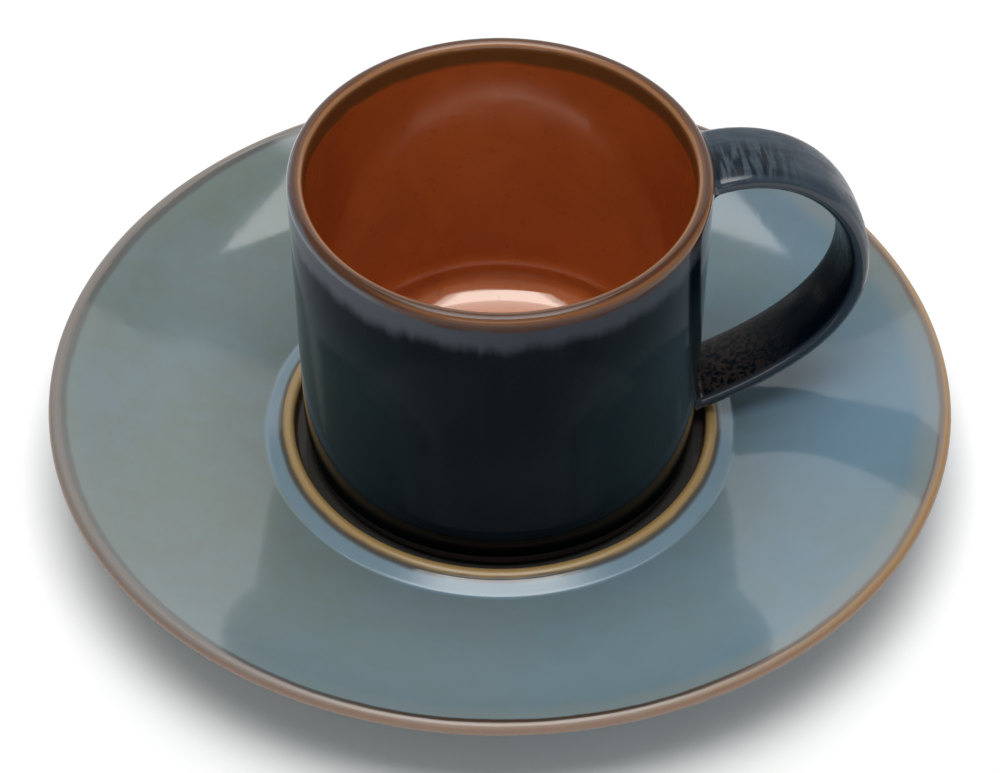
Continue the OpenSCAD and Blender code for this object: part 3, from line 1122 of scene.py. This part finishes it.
@dataclass
class Saucer:
    """The saucer: a turned disc with a ring for the cup, a wide flange and a turned-up lip."""

    rim_radius: float
    rim_top: float
    well: float
    glaze: float
    recess: float
    recess_radius: float
    ridge: float = 31.85 * MM
    ridge_height: float = 2.45 * MM
    ridge_inner_round: float = 0.9 * MM
    ridge_outer_round: float = 1.3 * MM
    ridge_flank: float = math.radians(55)
    flank_round: float = 0.5 * MM
    ridge_slope: float = math.radians(30)
    nose: float = 1.1 * MM
    lip_angle: float = math.radians(25)
    lip_width: float = 6 * MM
    flange_start: float = 34.2 * MM
    flange_step: float = 0.2 * MM
    flange_angle: float = math.radians(11.5)
    curl_width: float = 11.5 * MM
    thickness: float = 4.3 * MM
    foot_width: float = 3.5 * MM
    foot_flare: float = 0.8 * MM
    pool_round: float = 1.2 * MM
    softening: float = 0.5 * MM
    recess_round: float = 0.6 * MM
    brown_reach: float = 1.55 * MM
    pool_reach: float = 3.6 * MM
    foot_round: float = 0.5 * MM
    steps: int = 288

    @classmethod
    def from_frame(cls) -> "Saucer":
        """Reads the saucer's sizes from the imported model.

        Returns:
            The saucer.
        """
        top_low, top_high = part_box("saucer_top_glaze")
        disc_low, disc_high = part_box("saucer_recess_glaze")
        glaze = disc_high[2] - disc_low[2]
        return cls(
            rim_radius=top_high[0],
            rim_top=top_high[2],
            well=top_low[2] + glaze,
            glaze=glaze,
            recess=disc_high[2],
            recess_radius=disc_high[0],
        )

    def glaze_finish(self) -> GreyBlueGlaze:
        """Describes the glaze by where it breaks and pools.

        Returns:
            The glaze, its places in millimetres.
        """
        return GreyBlueGlaze(
            ridge_start=(self.ridge - self.ridge_inner_round) / MM,
            ridge_stop=(self.ridge + self.brown_reach) / MM,
            pool_stop=(self.ridge + self.pool_reach) / MM,
            rim=self.rim_radius / MM,
        )

    @property
    def foot_radius(self) -> float:
        """Outer radius of the foot ring."""
        return self.recess_radius + self.foot_width

    @property
    def under_start(self) -> float:
        """Radius where the underside leaves the foot ring."""
        return self.foot_radius + self.foot_flare

    @property
    def nose_centre(self) -> Point:
        """Centre of the rim's round nose."""
        return self.rim_radius - self.nose, self.rim_top - self.nose

    @property
    def lip_start(self) -> float:
        """Radius where the flange's curl meets the straight lip."""
        return self.rim_radius - self.lip_width

    def top(self, radius: float) -> float:
        """Gives the height of the glazed top of the flange and the lip.

        Args:
            radius: Where it is wanted.

        Returns:
            The height.
        """
        centre_r, centre_z = self.nose_centre
        slope = math.tan(self.lip_angle)
        lip_z = centre_z + self.nose / math.cos(self.lip_angle) - slope * (centre_r - self.lip_start)
        if radius > self.lip_start:
            return lip_z + slope * (radius - self.lip_start)
        flat = math.tan(self.flange_angle)
        start_z = self.well + self.flange_step
        rise = lip_z - start_z - flat * (self.lip_start - self.flange_start)
        curl = max(0.0, radius - self.lip_start + self.curl_width) / self.curl_width
        return start_z + flat * (radius - self.flange_start) + rise * curl**2

    def under(self, radius: float) -> float:
        """Gives the height of the glazed underside of the flange.

        Args:
            radius: Where it is wanted.

        Returns:
            The height.
        """
        rim_thickness = 2 * self.nose / math.cos(self.lip_angle)
        share = (radius - self.under_start) / (self.nose_centre[0] - self.under_start)
        return self.top(radius) - self.thickness - (rim_thickness - self.thickness) * share

    def draw_top(self, section: Section, depth: float) -> Section:
        """Draws the top from the middle of the well out to the rim's outermost line.

        Args:
            section: The section so far.
            depth: How far under the glaze's surface it runs.

        Returns:
            The section.
        """
        crest = self.well + self.ridge_height
        bead = self.ridge_inner_round
        foot = (self.ridge - bead - self.softening, self.well + self.softening)
        section.line(foot[0], self.well - depth, steps=24)
        section.arc(foot, self.softening + depth, -90, 0, steps=8)
        section.arc((self.ridge, crest - bead), bead - depth, 180, 90, steps=12)
        mound = (self.ridge, crest - self.ridge_outer_round)
        stop = 90 - math.degrees(self.ridge_flank)
        section.arc(mound, self.ridge_outer_round - depth, 90, stop, steps=12)
        out = self.ridge_outer_round + self.flank_round
        hollow = (mound[0] + out * math.sin(self.ridge_flank), mound[1] + out * math.cos(self.ridge_flank))
        level = 270 - math.degrees(self.ridge_slope)
        section.arc(hollow, self.flank_round + depth, 180 + stop, level, steps=6)
        r0, z0 = section.points[-1]
        flat = math.tan(self.flange_angle)
        base = self.well + self.flange_step - depth - flat * self.flange_start
        fall = math.tan(self.ridge_slope)
        meet_r = (z0 + fall * r0 - base) / (flat + fall)
        reach = self.pool_round * math.tan((self.ridge_slope + self.flange_angle) / 2)
        back = meet_r - reach * math.cos(self.ridge_slope)
        ahead = meet_r + reach * math.cos(self.flange_angle)
        section.line(back, z0 - fall * (back - r0), steps=8)
        section.bend((meet_r, base + flat * meet_r), (ahead, base + flat * ahead), steps=8)
        section.follow(lambda r: self.top(r) - depth, ahead, self.lip_start, steps=70)
        lip = 90 + math.degrees(self.lip_angle)
        section.arc(self.nose_centre, self.nose - depth, lip, 0, steps=20)
        return section

    def draw_under(self, section: Section, depth: float) -> Section:
        """Draws the underside from the rim's outermost line in to the foot ring.

        Args:
            section: The section so far.
            depth: How far above the glaze's surface it runs.

        Returns:
            The section.
        """
        lip = -90 + math.degrees(self.lip_angle)
        section.arc(self.nose_centre, self.nose - depth, 0, lip, steps=14)
        section.follow(lambda r: self.under(r) + depth, self.lip_start, self.under_start, steps=50)
        return section

    def build(self, wheel: Wheel, hand: Hand, clay: bpy.types.Material, glaze: bpy.types.Material) -> None:
        """Turns and dresses the saucer's four pieces.

        Args:
            wheel: The wheel.
            hand: The potter's hand.
            clay: Material of the bare stoneware.
            glaze: Material of the glaze.
        """
        coat = self.draw_top(Section(0.0, self.well), 0.0).back_along(self.clay_top())
        piece = wheel.turn("saucer_top_coat", coat, glaze, self.steps, hand.warp)
        dress(piece, Body.SAUCER, Slot.GREY_BLUE, "saucer_top_glaze")

        nose_r, nose_z = self.nose_centre
        coat = self.draw_under(Section(self.rim_radius, nose_z), 0.0)
        coat.back_along(self.draw_under(Section(self.rim_radius - self.glaze, nose_z), self.glaze))
        piece = wheel.turn("saucer_underside_coat", coat.close(), glaze, self.steps, hand.warp)
        dress(piece, Body.SAUCER, Slot.GREY_BLUE, "saucer_underside_glaze")

        inner = self.recess - self.glaze
        coat = Section(0.0, self.recess).line(self.recess_radius, self.recess, steps=20)
        corner = (self.recess_radius - self.recess_round, inner - self.recess_round)
        coat.arc(corner, self.recess_round, 0, 90, steps=6).line(0.0, inner, steps=20)
        piece = wheel.turn("saucer_recess_coat", coat, glaze, self.steps)
        dress(piece, Body.SAUCER, Slot.GREY_BLUE, "saucer_recess_glaze")

        bevel = self.foot_round
        start = self.under_start
        body = Section(0.0, self.recess).line(self.recess_radius, self.recess, steps=20)
        body.arc((self.recess_radius + bevel, bevel), bevel, 180, 270, steps=6)
        body.arc((self.foot_radius - bevel, bevel), bevel, -90, 0, steps=6)
        body.line(start, self.under(start) + self.glaze, steps=4)
        body.follow(lambda r: self.under(r) + self.glaze, start, self.lip_start, steps=40)
        lip = -90 + math.degrees(self.lip_angle)
        body.arc((nose_r, nose_z), self.nose - self.glaze, lip, 0, steps=10)
        piece = wheel.turn("saucer_clay", body.back_along(self.clay_top()), clay, self.steps, hand.warp)
        dress(piece, Body.SAUCER, Slot.STONEWARE, "saucer_body")

    def clay_top(self) -> Section:
        """Draws the clay's top, under the glaze."""
        return self.draw_top(Section(0.0, self.well - self.glaze), self.glaze)


@dataclass
class Cup:
    """The cup: a straight wall with a round lip, a dished floor and a turned foot."""

    foot: float
    top: float
    top_radius: float
    edge: float
    glaze_foot: float
    floor: float
    recess_radius: float
    glaze: float
    base_radius: float = 29.3 * MM
    lip: float = 1.2 * MM
    wall: float = 3.2 * MM
    flat_radius: float = 11.6 * MM
    bowl: float = 32 * MM
    corner: float = 6.9 * MM
    foot_width: float = 3.6 * MM
    overlap: float = 4 * MM
    bead: float = 0.35 * MM
    foot_round: float = 0.4 * MM
    steps: int = 288

    @classmethod
    def from_frame(cls) -> "Cup":
        """Reads the cup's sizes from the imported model.

        Returns:
            The cup.
        """
        coat_low, coat_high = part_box("cup_outer_glaze")
        disc_low, disc_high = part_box("cup_recess_glaze")
        lining_low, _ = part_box("cup_lining_glaze")
        body_low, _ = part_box("cup_body")
        glaze = disc_high[2] - disc_low[2]
        return cls(
            foot=body_low[2],
            top=coat_high[2],
            top_radius=coat_high[0],
            edge=disc_high[2],
            glaze_foot=coat_low[2],
            floor=lining_low[2] + glaze,
            recess_radius=disc_high[0],
            glaze=glaze,
        )

    @property
    def lip_centre(self) -> Point:
        """Centre of the lip's round."""
        return self.top_radius - self.lip, self.top - self.lip

    def wall_radius(self, height: float) -> float:
        """Gives the radius of the glazed outside.

        Args:
            height: Where it is wanted, below the lip's round.

        Returns:
            The radius.
        """
        share = (height - self.edge) / (self.lip_centre[1] - self.edge)
        return self.base_radius + (self.top_radius - self.base_radius) * share

    def inner_radius(self, height: float) -> float:
        """Gives the radius of the glazed inside.

        Args:
            height: Where it is wanted, between the floor and the lip.

        Returns:
            The radius.
        """
        share = (height - self.floor) / (self.lip_centre[1] - self.floor)
        start = self.base_radius - self.wall
        return start + (self.lip_centre[0] - self.lip - start) * share

    def draw_lip(self, section: Section, depth: float, start: float, stop: float) -> Section:
        """Draws the wall from a height outside, over the lip, to a height inside.

        Args:
            section: The section so far.
            depth: How far under the glaze's surface it runs.
            start: Height where it starts, outside.
            stop: Height where it stops, inside.

        Returns:
            The section.
        """
        centre_r, centre_z = self.lip_centre
        section.line(self.wall_radius(start) - depth, start)
        section.line(centre_r + self.lip - depth, centre_z, steps=60)
        section.arc(self.lip_centre, self.lip - depth, 0, 180, steps=28)
        section.line(self.inner_radius(stop) + depth, stop, steps=8)
        return section

    def draw_inside(self, section: Section, depth: float, start: float) -> Section:
        """Draws the inside from a height down to the middle of the floor.

        Args:
            section: The section so far.
            depth: How far under the glaze's surface it runs.
            start: Height where it starts.

        Returns:
            The section.
        """
        start_r = self.inner_radius(self.floor)
        lean = (self.inner_radius(start) - start_r) / (start - self.floor)
        aside = start_r - self.corner * math.hypot(1.0, lean) - self.flat_radius
        a = 1.0 + lean**2
        b = self.bowl - aside * lean
        c = aside**2 + self.bowl**2 - (self.bowl - self.corner) ** 2
        rise = (b - math.sqrt(b**2 - a * c)) / a
        corner = (self.flat_radius + aside + lean * rise, self.floor + rise)
        bowl = (self.flat_radius, self.floor + self.bowl)
        upper = -math.atan(lean)
        lower = math.degrees(math.atan2(corner[1] - bowl[1], corner[0] - bowl[0]))
        section.line(self.inner_radius(start) + depth, start)
        turn = self.corner + depth
        section.line(corner[0] + turn * math.cos(upper), corner[1] + turn * math.sin(upper), steps=40)
        section.arc(corner, turn, math.degrees(upper), lower, steps=24)
        section.arc(bowl, self.bowl + depth, lower, -90, steps=20)
        section.line(0.0, self.floor - depth, steps=20)
        return section

    def build(
        self, wheel: Wheel, clay: bpy.types.Material, rust: bpy.types.Material, navy: bpy.types.Material
    ) -> None:
        """Turns and dresses the cup's four turned pieces.

        Args:
            wheel: The wheel.
            clay: Material of the bare stoneware.
            rust: Material of the lining.
            navy: Material of the outer glaze.
        """
        seam = self.top - self.overlap
        low = self.glaze_foot
        wall = self.wall_radius(low)
        coat = Section(wall - self.glaze, low)
        coat.arc((wall - self.bead, low + self.bead), self.bead, -90, 0, steps=6)
        self.draw_lip(coat, 0.0, low + self.bead, seam)
        coat.back_along(self.draw_lip(Section(wall - self.glaze, low), self.glaze, low, seam))
        piece = wheel.turn("cup_outer_coat", coat.close(), navy, self.steps)
        dress(piece, Body.CUP, Slot.NAVY, "cup_outer_glaze")

        coat = self.draw_inside(Section(self.inner_radius(seam), seam), 0.0, seam)
        back = self.draw_inside(Section(self.inner_radius(seam) + self.glaze, seam), self.glaze, seam)
        coat.points = coat.points[::-1] + back.points
        piece = wheel.turn("cup_lining_coat", coat, rust, self.steps)
        dress(piece, Body.CUP, Slot.RUST, "cup_lining_glaze")

        inner = self.edge - self.glaze
        coat = Section(0.0, self.edge).line(self.recess_radius, self.edge, steps=16)
        coat.line(self.recess_radius, inner).line(0.0, inner, steps=16)
        piece = wheel.turn("cup_recess_coat", coat, navy, self.steps)
        dress(piece, Body.CUP, Slot.NAVY, "cup_recess_glaze")

        bevel = self.foot_round
        foot_radius = self.recess_radius + self.foot_width
        body = Section(0.0, self.edge).line(self.recess_radius, self.edge, steps=16)
        body.arc((self.recess_radius + bevel, self.foot + bevel), bevel, 180, 270, steps=6)
        body.arc((foot_radius - bevel, self.foot + bevel), bevel, -90, 0, steps=6)
        self.draw_lip(body, self.glaze, self.edge, seam)
        self.draw_inside(body, self.glaze, seam)
        piece = wheel.turn("cup_clay", body, clay, self.steps)
        dress(piece, Body.CUP, Slot.STONEWARE, "cup_body")


class StrapPull(Former):
    """The tree that pulls the strap along its path and flows it onto the wall."""

    lip_share = 0.98

    def __init__(self) -> None:
        """Builds the tree: rings along the path, swollen and drawn in where they near the wall."""
        super().__init__("pulled_strap")
        rings = self.take("Rings", "Int", 200)
        sides = self.take("Sides", "Int", 64)
        self.roundness = self.take("Roundness", "Float", 0.76)
        grid, row, column = self.grid(rings, sides)
        last = self.minus(rings, 1)
        way = self.crowd(self.over(row, last))
        open_ring = self.times(
            self.math("GREATER_THAN", row, 0.5), self.math("LESS_THAN", row, self.minus(last, 0.5))
        )
        source = {"Curves": self.blank, "Factor": way}
        sample = self.add("GeometryNodeSampleCurve", source, mode="FACTOR", use_all_curves=True)
        along_x, _, along_z = self.split(sample.outputs["Tangent"])
        out_way = self.join(self.times(along_z, -1.0), 0.0, along_x)

        angle = self.times(self.over(column, sides), -math.tau)
        cosine = self.math("COSINE", angle)
        sine = self.math("SINE", angle)
        half_w = self.times(self.width_at(way), 0.5)
        half_t = self.times(self.take("Thickness", "Float", 0.0037), 0.5)
        across = self.times(self.powered(cosine, self.roundness), self.times(half_w, open_ring))
        out = self.times(self.powered(sine, self.roundness), self.times(half_t, open_ring))
        ring = self.vector("ADD", self.join(0.0, across, 0.0), self.scaled(out_way, out))
        plain = self.vector("ADD", sample.outputs["Position"], ring)

        face_power = self.minus(2.0, self.roundness)
        facing_y = self.over(self.powered(cosine, face_power), half_w)
        facing_out = self.over(self.powered(sine, face_power), half_t)
        facing = self.vector("ADD", self.join(0.0, facing_y, 0.0), self.scaled(out_way, facing_out))
        final = self.flow_onto_wall(plain, self.vector("NORMALIZE", facing), open_ring)
        shaped = self.move(grid, Position=final)
        place = self.join(way, across, out)
        self.hand_out(self.weld(self.mark(shaped, STRAP_PLACE, place, "FLOAT_VECTOR", "POINT")))

    def crowd(self, even: Socket) -> Socket:
        """Crowds the rings toward both ends of the path.

        Args:
            even: Share of the path, spaced evenly.

        Returns:
            Share of the path, crowded.
        """
        share = self.over(self.take("Crowding", "Float", 0.8), math.tau)
        swing = self.math("SINE", self.times(even, math.tau))
        return self.minus(even, self.times(swing, share))

    def width_at(self, way: Socket) -> Socket:
        """Gives the strap's width at a share of its path, wider toward its top root.

        Args:
            way: Share of the path.

        Returns:
            The width.
        """
        width = self.take("Width", "Float", 0.012)
        flare = self.take("Flare", "Float", 0.001)
        near_top = self.rest(self.over(way, self.take("Flare Run", "Float", 0.25)))
        near_top = self.math("POWER", self.math("MAXIMUM", near_top, 0.0), 2.0)
        return self.math("MULTIPLY_ADD", flare, near_top, width)

    def powered(self, value: Socket, power: object) -> Socket:
        """Raises a value to a power and keeps its sign."""
        size = self.math("POWER", self.math("ABSOLUTE", value), power)
        return self.times(self.math("SIGN", value), size)

    def short_of_round(self, radius: Socket, rise: Socket) -> Socket:
        """Tells how far a round of a radius falls short of square at a rise along it.

        Args:
            radius: The radius.
            rise: The rise, up to the radius.

        Returns:
            The shortfall.
        """
        squares = self.minus(self.times(radius, radius), self.times(rise, rise))
        return self.minus(radius, self.math("SQRT", self.math("MAXIMUM", squares, 0.0)))

    def wall_gap(self, place: Socket, wall: dict[str, Socket]) -> Socket:
        """Measures the distance of a place from the glazed wall, outwards.

        Args:
            place: The place.
            wall: The sizes of the wall and the lip.

        Returns:
            The distance.
        """
        x, y, z = self.split(place)
        below = self.minus(self.math("MINIMUM", z, wall["lip_height"]), wall["low_height"])
        radius = self.math("MULTIPLY_ADD", below, wall["slope"], wall["low_radius"])
        above = self.math("MAXIMUM", self.minus(z, wall["lip_height"]), 0.0)
        above = self.math("MINIMUM", above, self.times(wall["lip"], self.lip_share))
        pulled_in = self.short_of_round(wall["lip"], above)
        return self.minus(self.off_axis(x, y), self.minus(radius, pulled_in))

    def flow_onto_wall(self, plain: Socket, facing: Socket, open_ring: Socket) -> Socket:
        """Swells the strap into a fillet where it nears the wall.

        Args:
            plain: A point of the plain strap.
            facing: Its normal.
            open_ring: 1, or 0 in the rings that close the ends.

        Returns:
            The point's final place.
        """
        fillet = self.take("Fillet", "Float", 0.0012)
        wall = {
            "low_radius": self.take("Wall Low Radius", "Float", 0.0293),
            "slope": self.take("Wall Slope", "Float", 0.025),
            "low_height": self.take("Wall Low Height", "Float", 0.0072),
            "lip_height": self.take("Lip Height", "Float", 0.0566),
            "lip": self.take("Lip Radius", "Float", 0.0012),
        }
        gap = self.wall_gap(plain, wall)
        rise = self.minus(fillet, self.math("MINIMUM", self.math("MAXIMUM", gap, 0.0), fillet))
        swell = self.times(self.short_of_round(fillet, rise), open_ring)
        swollen = self.vector("ADD", plain, self.scaled(facing, swell))
        lift = self.minus(self.wall_gap(swollen, wall), gap)
        x, y, _ = self.split(swollen)
        inwards = self.scaled(self.vector("NORMALIZE", self.join(x, y, 0.0)), self.times(lift, -1.0))
        return self.vector("ADD", swollen, self.scaled(inwards, open_ring))


@dataclass
class Handle:
    """The strap handle: pulled flat, luted to the wall at both ends and glazed with the cup."""

    cup: Cup
    root: float = 28.9 * MM
    top_height: float = 47.8 * MM
    middle_height: float = 28.2 * MM
    low_height: float = 4.4 * MM
    reach: float = 53.2 * MM
    top_angle: float = math.radians(15)
    low_angle: float = math.radians(18)
    top_lead: float = 14 * MM
    lead_up: float = 11.7 * MM
    lead_down: float = 13.4 * MM
    low_lead: float = 10.7 * MM
    width: float = 12 * MM
    flare: float = 0.9 * MM
    flare_run: float = 0.25
    thickness: float = 3.7 * MM
    roundness: float = 0.76
    fillet: float = 1.2 * MM
    rings: int = 220
    sides: int = 64
    crowding: float = 0.85
    curve_steps: int = 64

    def path(self) -> bpy.types.Object:
        """Draws the strap's middle line.

        Returns:
            A curve object of one spline with three points.
        """
        foot = self.cup.foot
        start = Vector((self.root, 0.0, foot + self.top_height))
        widest = Vector((self.reach, 0.0, foot + self.middle_height))
        end = Vector((self.root, 0.0, foot + self.low_height))
        top_way = Vector((math.cos(self.top_angle), 0.0, math.sin(self.top_angle)))
        low_way = Vector((math.cos(self.low_angle), 0.0, math.sin(self.low_angle)))
        curve = bpy.data.curves.new("strap_path", "CURVE")
        curve.dimensions = "3D"
        curve.resolution_u = self.curve_steps
        spline = curve.splines.new("BEZIER")
        spline.bezier_points.add(2)
        handles = (
            (start, start - top_way * self.top_lead, start + top_way * self.top_lead),
            (widest, widest + Vector((0, 0, self.lead_up)), widest - Vector((0, 0, self.lead_down))),
            (end, end + low_way * self.low_lead, end - low_way * self.low_lead),
        )
        for point, (place, left, right) in zip(spline.bezier_points, handles):
            point.handle_left_type = "FREE"
            point.handle_right_type = "FREE"
            point.co = place
            point.handle_left = left
            point.handle_right = right
        path = bpy.data.objects.new("handle_coat", curve)
        bpy.context.scene.collection.objects.link(path)
        return path

    def build(self, clay: bpy.types.Material, glaze: bpy.types.Material) -> None:
        """Pulls and dresses the strap, and gives the clay inside it its material.

        Args:
            clay: Material of the bare stoneware.
            glaze: Material of the strap's glaze.
        """
        cup = self.cup
        inputs = {
            "Rings": self.rings,
            "Sides": self.sides,
            "Crowding": self.crowding,
            "Width": self.width,
            "Flare": self.flare,
            "Flare Run": self.flare_run,
            "Thickness": self.thickness,
            "Roundness": self.roundness,
            "Fillet": self.fillet,
            "Wall Low Radius": cup.base_radius,
            "Wall Slope": (cup.top_radius - cup.base_radius) / (cup.lip_centre[1] - cup.edge),
            "Wall Low Height": cup.edge,
            "Lip Height": cup.lip_centre[1],
            "Lip Radius": cup.lip,
            "Material": glaze,
        }
        piece = bake(self.path(), StrapPull(), inputs)
        dress(piece, Body.CUP, Slot.NAVY, "handle_glaze")
        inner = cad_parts["cup_handle"]
        inner.data.materials.clear()
        inner.data.materials.append(clay)


@dataclass(frozen=True)
class Softbox:
    """A softbox, with its width level and square to the camera's view.

    Attributes:
        name: Its name.
        ahead: How far beyond the cup its middle hangs, as the camera looks.
        up: Height of its middle.
        tilt: Angle of its back, in degrees up from pointing ahead.
        size: Its width and height.
        radiance: Brightness of its face.
    """

    name: str
    ahead: float
    up: float
    tilt: float
    size: Point
    radiance: float


@dataclass
class Studio:
    """A pale floor, a white surround, softboxes and the camera of the photograph."""

    elevation: float = math.radians(44.147)
    distance: float = 0.5929
    target_height: float = 0.026
    roll: float = math.radians(0.089)
    lens: float = 144.23
    sensor: float = 36.0
    shift_y: float = -0.054
    clip_start: float = 0.01
    floor_size: float = 6.0
    floor_dark: Colour = (0.9, 0.9, 0.9, 1.0)
    floor_light: Colour = (0.93, 0.93, 0.93, 1.0)
    surround: float = 0.22
    softboxes: tuple[Softbox, ...] = (
        Softbox("overhead", ahead=0.075, up=1.2, tilt=90, size=(0.7512, 1.158), radiance=3.0),
        Softbox("overhead_core", ahead=-0.1882, up=1.176, tilt=90, size=(0.9878, 0.6115), radiance=3.0),
        Softbox("front_fill", ahead=-1.6444, up=0.7321, tilt=156, size=(1.5, 0.6), radiance=1.6),
        Softbox("backdrop", ahead=1.5, up=0.91, tilt=0, size=(3.2, 1.8), radiance=0.8),
    )

    @staticmethod
    def forward() -> Vector:
        """Level direction in which the camera looks."""
        return Vector((math.sin(VIEW_TURN), math.cos(VIEW_TURN), 0.0))

    @staticmethod
    def rightward() -> Vector:
        """Level direction to the right of the photograph."""
        return Vector((math.cos(VIEW_TURN), -math.sin(VIEW_TURN), 0.0))

    def camera(self) -> None:
        """Makes the camera and sets the scene to it."""
        look = self.forward() * math.cos(self.elevation) - Vector((0, 0, math.sin(self.elevation)))
        data = bpy.data.cameras.new("camera")
        data.lens = self.lens
        data.sensor_width = self.sensor
        data.sensor_fit = "HORIZONTAL"
        data.shift_y = self.shift_y
        data.clip_start = self.clip_start
        camera = bpy.data.objects.new("camera", data)
        camera.location = Vector((0, 0, self.target_height)) - look * self.distance
        turn = look.to_track_quat("-Z", "Y").to_matrix().to_4x4()
        camera.rotation_euler = (turn @ Matrix.Rotation(self.roll, 4, "Z")).to_euler()
        bpy.context.scene.collection.objects.link(camera)
        bpy.context.scene.camera = camera

    def floor(self) -> None:
        """Lays the pale floor."""
        mesh = bpy.data.meshes.new("floor")
        half = self.floor_size / 2
        corners = [(-half, -half, 0), (half, -half, 0), (half, half, 0), (-half, half, 0)]
        mesh.from_pydata(corners, [], [(0, 1, 2, 3)])
        floor = bpy.data.objects.new("floor", mesh)
        bpy.context.scene.collection.objects.link(floor)
        material = bpy.data.materials.new("floor")
        material.use_nodes = True
        material.node_tree.nodes.clear()
        graph = Graph(material.node_tree)
        place = graph.add("ShaderNodeTexCoord").outputs["Object"]
        grain = graph.noise(place, 30.0, 3.0).outputs[0]
        colour = graph.blend(grain, self.floor_dark, self.floor_light)
        shader = graph.add("ShaderNodeBsdfPrincipled", {"Base Color": colour, "Roughness": 0.9})
        graph.add("ShaderNodeOutputMaterial", {"Surface": shader.outputs[0]})
        mesh.materials.append(material)

    def world(self) -> None:
        """Makes the white surround, which lights the object less than it shows."""
        world = bpy.data.worlds.new("surround")
        bpy.context.scene.world = world
        world.use_nodes = True
        world.node_tree.nodes.clear()
        graph = Graph(world.node_tree)
        path = graph.add("ShaderNodeLightPath")
        strength = graph.between(path.outputs["Is Camera Ray"], 0.0, 1.0, self.surround, 1.0)
        back = graph.add("ShaderNodeBackground", {"Color": WHITE, "Strength": strength})
        graph.add("ShaderNodeOutputWorld", {"Surface": back.outputs[0]})

    def hang(self, softbox: Softbox) -> None:
        """Hangs a softbox, placed from the reflection that it leaves in the glaze.

        Args:
            softbox: The softbox.
        """
        up = Vector((0, 0, 1))
        tilt = math.radians(softbox.tilt)
        facing = self.forward() * math.cos(tilt) + up * math.sin(tilt)
        across = self.rightward()
        width, height = softbox.size
        data = bpy.data.lights.new(softbox.name, "AREA")
        data.shape = "RECTANGLE"
        data.size = width
        data.size_y = height
        data.energy = softbox.radiance * width * height * math.pi
        lamp = bpy.data.objects.new(softbox.name, data)
        lamp.location = self.forward() * softbox.ahead + up * softbox.up
        lamp.rotation_euler = Matrix((across, facing.cross(across), facing)).transposed().to_euler()
        lamp.visible_camera = False
        bpy.context.scene.collection.objects.link(lamp)

    def build(self) -> None:
        """Sets up the whole studio."""
        self.camera()
        self.floor()
        self.world()
        for softbox in self.softboxes:
            self.hang(softbox)
        bpy.context.scene.view_settings.view_transform = "Standard"


def main() -> None:
    """Builds the cup and saucer, the studio and the camera."""
    logging.basicConfig(level=logging.INFO, format="%(name)s: %(message)s")
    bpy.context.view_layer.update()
    hand = Hand()
    saucer = Saucer.from_frame()
    cup = Cup.from_frame()
    handle = Handle(cup)
    effects = Effects.build()
    clay = FiredClay().build(effects)
    grey_blue = saucer.glaze_finish().build(effects)
    navy_glaze = NavyGlaze(
        top=cup.top / MM,
        lip_radius=cup.lip_centre[0] / MM,
        foot=cup.glaze_foot / MM,
        strap_half=handle.width / MM / 2,
    )
    navy = navy_glaze.build(effects)
    rust = RustGlaze(floor=cup.floor / MM).build(effects)
    wheel = Wheel(hand)
    saucer.build(wheel, hand, clay, grey_blue)
    cup.build(wheel, clay, rust, navy)
    handle.build(clay, navy_glaze.build_strap(effects))
    Studio().build()


if __name__ == "__main__":
    main()
